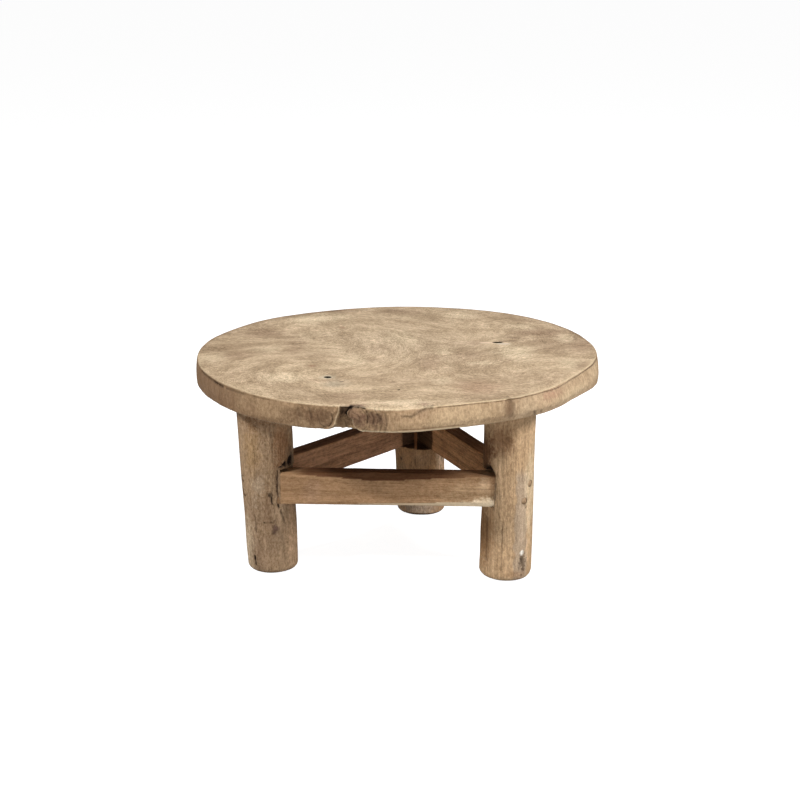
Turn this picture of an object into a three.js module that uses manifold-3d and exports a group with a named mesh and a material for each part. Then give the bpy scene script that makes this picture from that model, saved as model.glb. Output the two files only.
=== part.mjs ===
// Round low table: a thick natural slab on three log legs, tied together by three waney rails.
// Millimetres, +Z up, origin on the floor under the middle of the slab, front towards -Y.
import * as THREE from 'three';
import { mergeVertices } from 'three/addons/utils/BufferGeometryUtils.js';
import Module from 'manifold-3d';

const wasm = await Module();
wasm.setup();

// Whole table
const tableAcross = 600;
const tableHeight = 310;
const slabThick = 35;

// Clearances and cuts
const fitGap = 0.3;
const overrun = 6;

// Slab: radius at every 15 degrees from +X, anticlockwise, as a share of half the width
const rimShares = [
  1.000, 1.008, 1.020, 1.030, 1.024, 1.006, 0.998, 0.982,
  0.980, 0.992, 0.988, 0.998, 1.000, 1.002, 1.004, 1.014,
  1.016, 1.000, 0.998, 0.970, 0.974, 0.984, 0.968, 0.976,
];
const rimSides = 96;
const topEdgeRound = 3;
const underEdgeRound = 2.5;
const easeShare = 0.3;

// Slab: the stretch where the side runs in under the top, on the right
const underCutDeep = 5.5;
const underCutHigh = 13;
const underCutBearing = -50;
const underCutSpread = 8;

// Slab: the low swelling of the side at the far right, with its half width in degrees
const swellOut = 6;
const swellMiddleShare = 0.6;
const swellBearing = -12;
const swellSpread = 8;

// Slab: bark inlet that opens downwards through the front rim
const inletBearing = -104.6;
const inletTopHalf = 4.5;
const inletTopDeep = 14;
const inletFootHalf = 16;
const inletFootDeep = 38;
const inletLevels = [
  { heightShare: 1.0, growShare: 0.0 },
  { heightShare: 0.62, growShare: 0.12 },
  { heightShare: 0.4, growShare: 0.7 },
  { heightShare: 0.0, growShare: 1.0 },
];
const inletOutlineShares = [
  [1.0, -0.25], [0.94, 0.35], [0.66, 0.8], [0.26, 1.0],
  [-0.3, 0.97], [-0.74, 0.74], [-0.98, 0.3], [-1.0, -0.25],
];

// Legs: girths at the foot and under the slab
const leftLegFootAcross = 75;
const leftLegTopAcross = 81;
const rightLegFootAcross = 77;
const rightLegTopAcross = 74;
const backLegFootAcross = 77;
const backLegTopAcross = 79;
const legSides = 32;
const footRound = 4;

// Leg tenons, one piece with each leg, in blind holes in the slab
const legTenonAcross = 38;
const legTenonHigh = 22;
const legTenonSides = 24;

// Legs: places in plan, bearings in degrees from +X, distances as shares of half the width
const legPlaces = {
  leg_front_left: {
    footBearing: -156.1, footOutShare: 0.680, topBearing: -157.3, topOutShare: 0.714,
    footAcross: leftLegFootAcross, topAcross: leftLegTopAcross, screwBearing: -128,
    girthShares: [1.02, 0.99, 0.98, 1.0, 1.01, 1.0, 0.98, 1.0, 1.01, 1.0, 0.99, 1.02],
    swellShares: [0.98, 1.0, 0.99, 1.0, 1.01, 1.0],
  },
  leg_front_right: {
    footBearing: -35.1, footOutShare: 0.651, topBearing: -34.4, topOutShare: 0.663,
    footAcross: rightLegFootAcross, topAcross: rightLegTopAcross, screwBearing: -20,
    girthShares: [0.99, 1.01, 1.0, 0.98, 1.0, 1.02, 1.0, 0.99, 1.0, 1.01, 1.02, 0.99],
    swellShares: [1.0, 1.01, 1.0, 0.99, 1.0, 1.0],
  },
  leg_back: {
    footBearing: 77.6, footOutShare: 0.596, topBearing: 80.2, topOutShare: 0.591,
    footAcross: backLegFootAcross, topAcross: backLegTopAcross, screwBearing: 95,
    girthShares: [1.0, 1.02, 1.0, 0.99, 0.98, 1.0, 1.01, 1.0, 1.0, 0.98, 1.01, 1.0],
    swellShares: [0.99, 1.0, 1.01, 1.0, 0.99, 1.0],
  },
};
const legOrder = ['leg_front_left', 'leg_front_right', 'leg_back'];

// Rails: sawn bars whose whole ends enter the legs, outward of the legs' middles
const railHigh = 48;
const railThick = 29.5;
const railMiddleHigh = 135.5;
const railInnerStep = 0.8;
const railEndGap = 1.2;
const railEdgeEase = 1.5;
const railStations = 12;
const waneSpreadShare = 0.5;

// Mortises: oversize on the inner side, most in the back leg, and above the rail
const mortiseTopSlack = 5;
const mortiseInnerSlack = { leg_front_left: 14, leg_front_right: 14, leg_back: 18.8 };

// Rails: the order round the table, how much each end stands off the common height, the wane,
// and where each end's peg lies, as a share of the rail's thickness from its inner face
const railPlans = [
  {
    name: 'rail_front', from: 'leg_front_left', to: 'leg_front_right',
    startRise: -2, endRise: 2, topWane: 8, footWane: 9, wanePlaceShare: 0.5,
    startPegShare: 0.7, endPegShare: 0.59,
  },
  {
    name: 'rail_right', from: 'leg_front_right', to: 'leg_back',
    startRise: -1, endRise: 1, topWane: 4, footWane: 3, wanePlaceShare: 0.6,
    startPegShare: 0.23, endPegShare: 0.5,
  },
  {
    name: 'rail_left', from: 'leg_back', to: 'leg_front_left',
    startRise: 3, endRise: -1, topWane: 5, footWane: 4, wanePlaceShare: 0.4,
    startPegShare: 0.5, endPegShare: 0.5,
  },
];

// Pegs: one along each rail end, from the far side of the leg into the end grain, cut flush
const pegAcross = 9.5;
const pegBite = 26;
const pegStagger = 10;
const pegSunk = 1;
const pegEase = 0.8;
const pegSides = 16;

// Leg screws: from a pocket in the leg's flank up into the slab
const screwHeadAcross = 7;
const screwHeadHigh = 2.6;
const screwShankAcross = 4;
const screwLong = 36;
const screwPointLong = 6;
const screwHeadDrop = 24;
const screwLean = 30;
const screwSunk = 1.5;
const screwSides = 12;
const screwCrownAcrossShare = 0.8;
const screwCrownHighShare = 0.4;

// Finishes
const slabWood = new THREE.MeshStandardMaterial({ color: 0xc4a98a, roughness: 0.74, metalness: 0 });
const legWood = new THREE.MeshStandardMaterial({ color: 0xa5876a, roughness: 0.82, metalness: 0 });
const railWood = new THREE.MeshStandardMaterial({ color: 0x9e7d5c, roughness: 0.8, metalness: 0 });
const pegWood = new THREE.MeshStandardMaterial({ color: 0xb08f6c, roughness: 0.72, metalness: 0 });
const screwSteel = new THREE.MeshStandardMaterial({ color: 0x5d5852, roughness: 0.5, metalness: 1 });

// Values that follow from the sizes above
const slabUnder = tableHeight - slabThick;
const halfAcross = tableAcross / 2;
const up = new THREE.Vector3(0, 0, 1);

/** A point in plan from a bearing in degrees and a distance. */
function planPoint(bearing, out, z = 0) {
  const angle = THREE.MathUtils.degToRad(bearing);
  return new THREE.Vector3(out * Math.cos(angle), out * Math.sin(angle), z);
}

/** A closed body from rings of equally many points, anticlockwise seen from the last ring. */
function loft(rings) {
  const sides = rings[0].length;
  const points = rings.flat();
  const triangles = [];
  for (let level = 0; level + 1 < rings.length; level += 1) {
    for (let side = 0; side < sides; side += 1) {
      const next = (side + 1) % sides;
      const [low, lowNext] = [level * sides + side, level * sides + next];
      triangles.push(low, lowNext, lowNext + sides);
      triangles.push(low, lowNext + sides, low + sides);
    }
  }
  for (const ring of [rings[0], rings.at(-1)]) {
    const middle = ring.reduce((sum, point) => sum.add(point), new THREE.Vector3());
    const hub = points.push(middle.divideScalar(sides)) - 1;
    const first = ring === rings[0] ? 0 : (rings.length - 1) * sides;
    for (let side = 0; side < sides; side += 1) {
      const [here, there] = [first + side, first + ((side + 1) % sides)];
      triangles.push(hub, ...(first ? [here, there] : [there, here]));
    }
  }
  return new THREE.BufferGeometry().setFromPoints(points).setIndex(triangles);
}

/** A round bar along +Z, from heights and radii that start and end on the axis. */
function turned(profile, sides) {
  const points = profile.map(([radius, height]) => new THREE.Vector2(radius, height));
  return new THREE.LatheGeometry(points, sides).rotateX(Math.PI / 2);
}

/** A plain cylinder along +Z from its foot to its head. */
function rod(across, foot, head, sides) {
  return turned([[0, foot], [across / 2, foot], [across / 2, head], [0, head]], sides);
}

/** A solid that can be joined and cut, from a closed geometry. */
function solidOf(geometry) {
  const plain = geometry.clone();
  plain.deleteAttribute('normal');
  plain.deleteAttribute('uv');
  const merged = mergeVertices(plain);
  const corners = Array.from(merged.index.array);
  const kept = [];
  for (let at = 0; at < corners.length; at += 3) {
    const [a, b, c] = corners.slice(at, at + 3);
    if (a !== b && b !== c && c !== a) kept.push(a, b, c);
  }
  return new wasm.Manifold(new wasm.Mesh({
    numProp: 3,
    vertProperties: merged.attributes.position.array,
    triVerts: Uint32Array.from(kept),
  }));
}

/** A geometry from a solid. */
function geometryOf(solid) {
  const mesh = solid.getMesh();
  const geometry = new THREE.BufferGeometry();
  geometry.setAttribute('position', new THREE.BufferAttribute(mesh.vertProperties, 3));
  geometry.setIndex(new THREE.BufferAttribute(mesh.triVerts, 1));
  return geometry;
}

/** The geometry left after the cutters are taken out of a body. */
function carve(body, cutters) {
  return geometryOf(cutters.reduce((solid, cutter) => solid.subtract(solidOf(cutter)), solidOf(body)));
}

/** A named mesh with flat faces. */
function piece(name, geometry, material) {
  const mesh = new THREE.Mesh(geometry, material);
  mesh.name = name;
  return mesh;
}

/** The middle of a leg at a height. */
function legMiddle(name, height) {
  const place = legPlaces[name];
  const foot = planPoint(place.footBearing, place.footOutShare * halfAcross);
  const top = planPoint(place.topBearing, place.topOutShare * halfAcross);
  const middle = foot.lerp(top, height / slabUnder);
  return middle.setZ(height);
}

/** The radius of a leg at a height, before its girth varies round it. */
function legRadius(name, height) {
  const { footAcross, topAcross, swellShares } = legPlaces[name];
  const share = THREE.MathUtils.clamp(height / slabUnder, 0, 1);
  const at = Math.min(Math.floor(share * (swellShares.length - 1)), swellShares.length - 2);
  const within = share * (swellShares.length - 1) - at;
  const swell = THREE.MathUtils.lerp(swellShares[at], swellShares[at + 1], within);
  return (THREE.MathUtils.lerp(footAcross, topAcross, share) * swell) / 2;
}

/** One level ring of a leg, drawn in by an inset. */
function legRing(name, height, inset) {
  const { girthShares } = legPlaces[name];
  const middle = legMiddle(name, height);
  const radius = legRadius(name, height);
  const girth = new THREE.CatmullRomCurve3(
    girthShares.map((share, at) => planPoint((360 * at) / girthShares.length, share * radius)),
    true,
  );
  return Array.from({ length: legSides }, (_, side) => {
    const point = girth.getPoint(side / legSides);
    return point.setLength(point.length() - inset).add(middle);
  });
}

/** The plain log of a leg, with an eased foot, drawn in by an inset. */
function legLog(name, inset) {
  const shoulder = slabUnder - fitGap;
  const footEase = footRound * easeShare;
  const rings = [legRing(name, 0, footRound + inset), legRing(name, footEase, footEase + inset)];
  const levels = legPlaces[name].swellShares.length;
  for (let level = 0; level < levels; level += 1) {
    rings.push(legRing(name, THREE.MathUtils.lerp(footRound, shoulder, level / (levels - 1)), inset));
  }
  return loft(rings);
}

/** The frame of a rail: +X along it, -Y outward, +Z up, from the middle of its first leg. */
function railFrame(plan) {
  const start = legMiddle(plan.from, railMiddleHigh).add(up.clone().multiplyScalar(plan.startRise));
  const end = legMiddle(plan.to, railMiddleHigh).add(up.clone().multiplyScalar(plan.endRise));
  const along = end.clone().sub(start);
  const long = along.length();
  along.normalize();
  const inward = up.clone().cross(along).normalize();
  const rise = along.clone().cross(inward);
  return { long, matrix: new THREE.Matrix4().makeBasis(along, inward, rise).setPosition(start) };
}

/** One section of a rail at a share of its length, with its waney outer edges. */
function railSection(plan, share, x) {
  const fade = Math.sin(Math.PI * share) ** 2;
  const drift = Math.exp(-(((share - plan.wanePlaceShare) / waneSpreadShare) ** 2));
  const topWane = railEdgeEase + plan.topWane * fade * drift;
  const footWane = railEdgeEase + plan.footWane * share ** 2 * (1 - share ** 8);
  const [inner, outer] = [-railInnerStep, -railInnerStep - railThick];
  const [foot, top] = [-railHigh / 2, railHigh / 2];
  return [
    [outer + footWane / 2, foot], [inner - railEdgeEase, foot],
    [inner, foot + railEdgeEase], [inner, top - railEdgeEase],
    [inner - railEdgeEase, top], [outer + topWane, top],
    [outer, top - topWane], [outer, foot + footWane],
  ].map(([y, z]) => new THREE.Vector3(x, y, z));
}

/** The two ends of a rail: the leg there, which way is out of the rail, and the peg's place. */
function railEnds(plan, long) {
  const pegOut = (share) => railInnerStep + railThick * share;
  return [
    { leg: plan.from, end: 0, outward: -1, pegHigh: -pegStagger, pegOut: pegOut(plan.startPegShare) },
    { leg: plan.to, end: long, outward: 1, pegHigh: pegStagger, pegOut: pegOut(plan.endPegShare) },
  ];
}

/** A peg's stretch along its rail, before it is cut flush: from past the leg into the rail's end. */
function pegSpan(place) {
  const beyond = legRadius(place.leg, railMiddleHigh) + overrun;
  return { near: place.end + place.outward * beyond, far: place.end - place.outward * pegBite };
}

/** A bar along the rail's length between two places, centred on the peg's line. */
function pegBar(place, across, from, to, ease) {
  const [foot, head] = [Math.min(from, to), Math.max(from, to)];
  const radius = across / 2;
  const profile = [
    [0, foot], [radius - ease, foot], [radius, foot + ease],
    [radius, head - ease], [radius - ease, head], [0, head],
  ];
  return turned(profile, pegSides).rotateY(Math.PI / 2).translate(0, -place.pegOut, place.pegHigh);
}

/** The hole for a peg, open at the leg's flank. */
function pegHole(place) {
  const { near, far } = pegSpan(place);
  return pegBar(place, pegAcross + 2 * fitGap, near, far - place.outward * fitGap, fitGap);
}

/** A peg in its rail's frame, cut flush just under the leg's flank. */
function makePeg(place, matrix) {
  const { near, far } = pegSpan(place);
  const log = legLog(place.leg, pegSunk).applyMatrix4(matrix.clone().invert());
  return geometryOf(solidOf(pegBar(place, pegAcross, near, far, pegEase)).intersect(solidOf(log)));
}

/** The slot in a leg that takes the end of a rail. */
function mortise(place) {
  const reach = legRadius(place.leg, railMiddleHigh) + overrun;
  const from = place.end;
  const to = place.end - place.outward * reach;
  const [inner, outer] = [mortiseInnerSlack[place.leg], -railInnerStep - railThick - fitGap];
  const [foot, top] = [-railHigh / 2 - fitGap, railHigh / 2 + mortiseTopSlack];
  return new THREE.BoxGeometry(Math.abs(to - from), inner - outer, top - foot)
    .translate((from + to) / 2, (inner + outer) / 2, (foot + top) / 2);
}

/** The place and direction of a leg's screw: the seat of its head, pointing up and inward. */
function screwPlace(name) {
  const height = slabUnder - screwHeadDrop;
  const { screwBearing } = legPlaces[name];
  const lean = THREE.MathUtils.degToRad(screwLean);
  const out = planPoint(screwBearing, 1);
  const flank = legMiddle(name, height).addScaledVector(out, legRadius(name, height) - screwSunk);
  const aim = up.clone().multiplyScalar(Math.cos(lean)).addScaledVector(out, -Math.sin(lean));
  const spin = new THREE.Quaternion().setFromUnitVectors(up, aim);
  const seat = flank.addScaledVector(out, -screwHeadAcross / 2);
  return { seat, spin };
}

/** A cutter along a screw's line. */
function alongScrew(name, geometry) {
  const { seat, spin } = screwPlace(name);
  return geometry.applyMatrix4(new THREE.Matrix4().compose(seat, spin, new THREE.Vector3(1, 1, 1)));
}

/** The pocket and the hole that a leg's screw needs. */
function screwCutters(name) {
  const pocketLong = screwHeadAcross / Math.sin(THREE.MathUtils.degToRad(screwLean)) + overrun;
  const pocket = rod(screwHeadAcross + 2 * fitGap, -pocketLong, screwHeadHigh + fitGap, screwSides);
  const bore = rod(screwShankAcross + 2 * fitGap, -overrun, screwLong + fitGap, screwSides);
  return [alongScrew(name, pocket), alongScrew(name, bore)];
}

/** The slab's outline in plan. */
function rimCurve() {
  return new THREE.CatmullRomCurve3(
    rimShares.map((share, at) => planPoint((360 * at) / rimShares.length, share * halfAcross)),
    true,
  );
}

/** How far the foot of the slab's side lies inside its top, at a point on the rim. */
function underCut(point) {
  const bearing = Math.atan2(point.y, point.x) - THREE.MathUtils.degToRad(underCutBearing);
  return underCutDeep * Math.max(0, Math.cos(bearing)) ** underCutSpread;
}

/** How far the foot of the slab's side swells out, at a point on the rim. */
function swell(point) {
  const turn = (THREE.MathUtils.radToDeg(Math.atan2(point.y, point.x)) - swellBearing) / swellSpread;
  return swellOut * Math.exp(-turn * turn);
}

/** One level ring of the slab, with an inset that may change round the rim. */
function slabRing(curve, height, insetAt) {
  return Array.from({ length: rimSides }, (_, side) => {
    const point = curve.getPoint(side / rimSides);
    return point.setLength(point.length() - insetAt(point)).setZ(height);
  });
}

/** The cutter for the bark inlet: narrow and shallow at the top, wide and deep below. */
function inletCutter() {
  const angle = THREE.MathUtils.degToRad(inletBearing);
  const rim = planPoint(inletBearing, halfAcross);
  const inward = rim.clone().normalize().negate();
  const across = new THREE.Vector3(-Math.sin(angle), Math.cos(angle), 0);
  const rings = inletLevels.map(({ heightShare, growShare }) => {
    const half = THREE.MathUtils.lerp(inletTopHalf, inletFootHalf, growShare);
    const deep = THREE.MathUtils.lerp(inletTopDeep, inletFootDeep, growShare);
    const beyond = (heightShare * 2 - 1) * overrun;
    const z = slabUnder + heightShare * slabThick + (growShare === 0 || growShare === 1 ? beyond : 0);
    return inletOutlineShares.map(([side, depth]) => rim.clone()
      .addScaledVector(across, side * half)
      .addScaledVector(inward, depth < 0 ? depth * inletFootDeep : depth * deep)
      .setZ(z));
  });
  return loft(rings.reverse());
}

/** The slab: rounded above, cut back below on the right, with its inlet and blind holes. */
function makeSlab() {
  const curve = rimCurve();
  const full = () => 0;
  const rings = [
    slabRing(curve, slabUnder, (point) => underCut(point) - swell(point) + underEdgeRound),
    slabRing(curve, slabUnder + underEdgeRound, (point) => underCut(point) - swell(point)),
    slabRing(curve, slabUnder + underEdgeRound + underCutHigh, (point) => -swell(point) * swellMiddleShare),
    slabRing(curve, tableHeight - topEdgeRound, full),
    slabRing(curve, tableHeight - topEdgeRound * easeShare, () => topEdgeRound * easeShare),
    slabRing(curve, tableHeight, () => topEdgeRound),
  ];
  const holes = legOrder.map((name) => {
    const top = legMiddle(name, slabUnder);
    const hole = rod(legTenonAcross + 2 * fitGap, -overrun, legTenonHigh + fitGap, legTenonSides);
    return hole.translate(top.x, top.y, slabUnder);
  });
  const bores = legOrder.flatMap((name) => screwCutters(name).slice(1));
  return piece('tabletop', carve(loft(rings), [inletCutter(), ...holes, ...bores]), slabWood);
}

/** A leg with its tenon, its two mortises, its peg holes and its screw pocket. */
function makeLeg(name, rails) {
  const top = legMiddle(name, slabUnder);
  const tenonFoot = slabUnder - fitGap - overrun;
  const tenon = rod(legTenonAcross, tenonFoot, slabUnder + legTenonHigh - fitGap, legTenonSides);
  const body = geometryOf(solidOf(legLog(name, 0)).add(solidOf(tenon.translate(top.x, top.y, 0))));
  const cutters = rails.flatMap(({ plan, long, matrix }) => railEnds(plan, long)
    .filter((place) => place.leg === name)
    .flatMap((place) => [mortise(place), pegHole(place)])
    .map((cutter) => cutter.applyMatrix4(matrix)));
  const foot = legMiddle(name, 0);
  const carved = carve(body, [...cutters, ...screwCutters(name)]).translate(-foot.x, -foot.y, 0);
  const mesh = piece(name, carved, legWood);
  mesh.position.copy(foot);
  return mesh;
}

/** A rail with its two pegs, in the rail's own frame. */
function makeRail({ plan, long, matrix }) {
  const ends = railEnds(plan, long);
  const rings = Array.from({ length: railStations }, (_, station) => {
    const share = station / (railStations - 1);
    return railSection(plan, share, THREE.MathUtils.lerp(railEndGap, long - railEndGap, share));
  });
  const group = new THREE.Group();
  group.add(piece(plan.name, carve(loft(rings), ends.map(pegHole)), railWood));
  ends.forEach((place) => {
    group.add(piece(`peg_${plan.name}_${place.leg}`, makePeg(place, matrix), pegWood));
  });
  matrix.decompose(group.position, group.quaternion, group.scale);
  return group;
}

/** A leg's screw: a raised head, a shank and a point. */
function makeScrew(name) {
  const [head, shank] = [screwHeadAcross / 2, screwShankAcross / 2];
  const crown = screwHeadHigh * screwCrownHighShare;
  const profile = [
    [0, 0], [head * screwCrownAcrossShare, 0], [head, crown], [head, screwHeadHigh],
    [shank, screwHeadHigh], [shank, screwLong - screwPointLong], [0, screwLong],
  ];
  const { seat, spin } = screwPlace(name);
  const mesh = piece(`screw_${name}`, turned(profile, screwSides), screwSteel);
  mesh.position.copy(seat);
  mesh.quaternion.copy(spin);
  return mesh;
}

const table = new THREE.Group();
const rails = railPlans.map((plan) => ({ plan, ...railFrame(plan) }));
table.add(makeSlab());
legOrder.forEach((name) => table.add(makeLeg(name, rails), makeScrew(name)));
rails.forEach((rail) => table.add(makeRail(rail)));

export default table;
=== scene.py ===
"""Round low table: a natural slab, three log legs, three waney rails, their pegs and screws."""
import logging
import math
from dataclasses import dataclass, field
from enum import Enum
from itertools import product
from typing import Iterable

import bpy
import numpy as np
from mathutils import Euler, Matrix, Vector


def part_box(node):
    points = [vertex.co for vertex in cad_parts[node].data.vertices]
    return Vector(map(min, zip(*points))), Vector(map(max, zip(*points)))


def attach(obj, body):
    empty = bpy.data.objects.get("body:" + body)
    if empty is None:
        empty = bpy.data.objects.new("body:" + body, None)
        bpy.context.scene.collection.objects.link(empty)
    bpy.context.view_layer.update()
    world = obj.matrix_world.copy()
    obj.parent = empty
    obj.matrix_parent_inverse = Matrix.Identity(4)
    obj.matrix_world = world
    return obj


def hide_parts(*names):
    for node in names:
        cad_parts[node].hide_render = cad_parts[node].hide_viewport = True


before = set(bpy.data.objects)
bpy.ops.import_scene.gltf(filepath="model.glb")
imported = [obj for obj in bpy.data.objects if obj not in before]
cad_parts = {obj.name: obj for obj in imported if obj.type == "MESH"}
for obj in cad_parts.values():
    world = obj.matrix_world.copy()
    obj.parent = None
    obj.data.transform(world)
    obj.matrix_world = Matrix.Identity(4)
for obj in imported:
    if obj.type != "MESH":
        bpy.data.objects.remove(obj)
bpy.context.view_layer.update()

LOG = logging.getLogger("low_table")
MM = 0.001
HAIR = 0.001 * MM

Array = np.ndarray
Colour = tuple[int, int, int]
Material = bpy.types.Material
Object = bpy.types.Object
Tree = bpy.types.NodeTree
Triple = tuple[float, float, float]


class Side(Enum):
    """The three legs, by their node names."""

    LEFT = "leg_front_left"
    RIGHT = "leg_front_right"
    BACK = "leg_back"


# Number work


def smooth(low: float, high: float, value: Array) -> Array:
    """An eased step, 0 up to low and 1 from high on."""
    part = np.clip((value - low) / (high - low), 0.0, 1.0)
    return part * part * (3.0 - 2.0 * part)


def bump(value: Array, centre: float, width: float) -> Array:
    """A round hump of height 1 at centre, and of about a third of it at width to either side."""
    return np.exp(-(((value - centre) / width) ** 2))


CELL_FACTORS = (73856093, 19349663, 83492791)
SEED_FACTOR = 2654435761
STIRS = ((13, 1274126177), (15, 2246822519))


def lattice_noise(points: Array, seed: int) -> Array:
    """Smooth random values on a unit lattice.

    Args:
        points: Rows of three coordinates.
        seed: Picks the pattern.

    Returns:
        One value from -1 to 1 for each row.
    """
    cell = np.floor(points).astype(np.int64)
    part = smooth(0.0, 1.0, points - cell)
    total = np.zeros(len(points))
    for corner in product((0, 1), repeat=3):
        at = cell + np.array(corner)
        key = seed * SEED_FACTOR
        for axis, factor in enumerate(CELL_FACTORS):
            key = key ^ (at[:, axis] * factor)
        for shift, factor in STIRS:
            key = ((key ^ (key >> shift)) * factor) & 0xFFFFFFFF
        value = ((key >> 8) & 0xFFFF) / 32767.5 - 1.0
        total += value * np.prod(np.where(np.array(corner) == 1, part, 1.0 - part), axis=1)
    return total


def layered(points: Array, seed: int, layers: int = 3) -> Array:
    """Lattice noise of about -1 to 1 in layers, each half as strong and twice as fine as the last."""
    total = np.zeros(len(points))
    for layer in range(layers):
        total += lattice_noise(points * 2.0**layer, seed + layer) * 0.5**layer
    return total / 1.4


def round_table(shares: tuple[float, ...], angle: Array) -> Array:
    """Reads a table that runs once round a circle, smoothly.

    Args:
        shares: Evenly spaced values from angle 0.
        angle: Angles in radians.

    Returns:
        The value at each angle.
    """
    count = len(shares)
    values = np.array(shares)
    place = (angle / math.tau * count) % count
    at = np.floor(place).astype(int)
    part = place - at
    before, here, there, after = (values[(at + step) % count] for step in (-1, 0, 1, 2))
    slope_here = (there - before) / 2
    slope_there = (after - here) / 2
    cube = 2 * here - 2 * there + slope_here + slope_there
    square = -3 * here + 3 * there - 2 * slope_here - slope_there
    return ((cube * part + square) * part + slope_here) * part + here


@dataclass(frozen=True)
class Crack:
    """A furrow on an upright surface, along bearings in degrees and heights in millimetres."""

    line: tuple[tuple[float, float], ...]
    wide: float
    deep: float
    dark: float = 0.8

    def hump(self, angle: Array, height: Array, radius: float) -> Array:
        """The furrow's profile.

        Args:
            angle: Bearings in radians.
            height: Heights in metres.
            radius: The surface's radius, which turns bearings into lengths.

        Returns:
            1 on the line, falling to 0 beside it.
        """
        near = np.full_like(angle, np.inf)
        for (first, low), (last, high) in zip(self.line, self.line[1:]):
            across, above = angle_gap(angle, math.radians(first)) * radius, height - low * MM
            run, rise = math.radians(last - first) * radius, (high - low) * MM
            part = np.clip((across * run + above * rise) / max(run * run + rise * rise, 1e-12), 0, 1)
            near = np.minimum(near, np.hypot(across - part * run, above - part * rise))
        return np.exp(-((near / (self.wide * MM)) ** 2))


def angle_gap(angle: Array, centre: float) -> Array:
    """The signed difference from a bearing, within half a turn."""
    return (angle - centre + math.pi) % math.tau - math.pi


def window(angle: Array, low: float, high: float, soft: float = 5.0) -> Array:
    """A soft window between two bearings in degrees."""
    middle, half = (low + high) / 2, (high - low) / 2
    off = np.abs(np.degrees(angle_gap(angle, math.radians(middle))))
    return 1.0 - smooth(half - soft / 2, half + soft / 2, off)


# Mesh work


def clear_selection() -> None:
    """Deselects every object."""
    for other in bpy.context.selected_objects:
        other.select_set(False)


def only(obj: Object) -> None:
    """Selects one object and makes it active, with nothing else selected."""
    clear_selection()
    obj.select_set(True)
    bpy.context.view_layer.objects.active = obj


def named(name: str) -> Object:
    """Names the active object and its mesh, and returns it."""
    obj = bpy.context.object
    obj.name = name
    obj.data.name = name
    return obj


def set_mode(name: str) -> None:
    """Changes between EDIT and OBJECT mode."""
    bpy.ops.object.mode_set(mode=name)


@dataclass(frozen=True)
class Station:
    """One ring of a blank: its radius, its height, and the cuts in the stretch that leads to it."""

    radius: float
    height: float
    cuts: int = 0


def points_of(obj: Object) -> Array:
    """The object's vertices as rows of three."""
    flat = np.empty(len(obj.data.vertices) * 3)
    obj.data.vertices.foreach_get("co", flat)
    return flat.reshape(-1, 3)


def polar(points: Array) -> tuple[Array, Array, Array]:
    """The bearings, the distances from the upright axis and the heights of points."""
    return np.arctan2(points[:, 1], points[:, 0]), np.hypot(points[:, 0], points[:, 1]), points[:, 2]


def in_frame(points: Array, matrix: Matrix) -> Array:
    """The points as they lie in a turned frame."""
    return (np.c_[points, np.ones(len(points))] @ np.array(matrix.inverted()).T)[:, :3]


def put_points(obj: Object, points: Array) -> None:
    """Moves the object's vertices to the rows of points."""
    obj.data.vertices.foreach_set("co", points.ravel())
    obj.data.update()


def round_blank(name: str, sides: int, stations: list[Station]) -> Object:
    """A closed round body, drawn up ring by ring from a circle.

    Args:
        name: The new object's name.
        sides: How many sides the rings have.
        stations: The rings, from the first cap to the last.

    Returns:
        The blank, with its vertices unshaped.
    """
    clear_selection()
    first = stations[0]
    bpy.ops.mesh.primitive_circle_add(
        vertices=sides, radius=first.radius, fill_type="NOTHING", location=(0, 0, 0)
    )
    obj = named(name)
    put_points(obj, points_of(obj) + np.array((0.0, 0.0, first.height)))
    for before, here in zip(stations, stations[1:]):
        set_mode("EDIT")
        bpy.ops.mesh.select_mode(type="VERT")
        bpy.ops.mesh.extrude_region_move(
            TRANSFORM_OT_translate={"value": (0, 0, here.height - before.height)}
        )
        grow = here.radius / before.radius
        bpy.ops.transform.resize(value=(grow, grow, 1), center_override=(0, 0, here.height))
        set_mode("OBJECT")
    for before, here in zip(stations, stations[1:]):
        if here.cuts:
            cut_stretch(obj, before, here)
    set_mode("EDIT")
    bpy.ops.mesh.select_mode(type="EDGE")
    bpy.ops.mesh.select_all(action="DESELECT")
    bpy.ops.mesh.select_non_manifold()
    bpy.ops.mesh.fill_holes(sides=0)
    bpy.ops.mesh.select_all(action="SELECT")
    bpy.ops.mesh.normals_make_consistent(inside=False)
    set_mode("OBJECT")
    return obj


def cut_stretch(obj: Object, before: Station, here: Station) -> None:
    """Subdivides the wall between two rings along its length.

    Args:
        obj: The blank.
        before: The ring that the wall leaves.
        here: The ring that the wall reaches, with its number of cuts.
    """
    only(obj)
    _, reach, height = polar(points_of(obj))

    def on(station: Station) -> Array:
        """Which points lie on a ring."""
        flat = np.abs(height - station.height) < HAIR
        return flat & (np.abs(reach - station.radius) < HAIR)

    low, high = on(before), on(here)
    ends = np.empty(len(obj.data.edges) * 2, dtype=int)
    obj.data.edges.foreach_get("vertices", ends)
    ends = ends.reshape(-1, 2)
    spans = (low[ends[:, 0]] & high[ends[:, 1]]) | (high[ends[:, 0]] & low[ends[:, 1]])
    set_mode("EDIT")
    bpy.ops.mesh.select_mode(type="EDGE")
    bpy.ops.mesh.select_all(action="DESELECT")
    set_mode("OBJECT")
    obj.data.edges.foreach_set("select", spans)
    set_mode("EDIT")
    bpy.ops.mesh.subdivide(number_cuts=here.cuts)
    set_mode("OBJECT")


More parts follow.
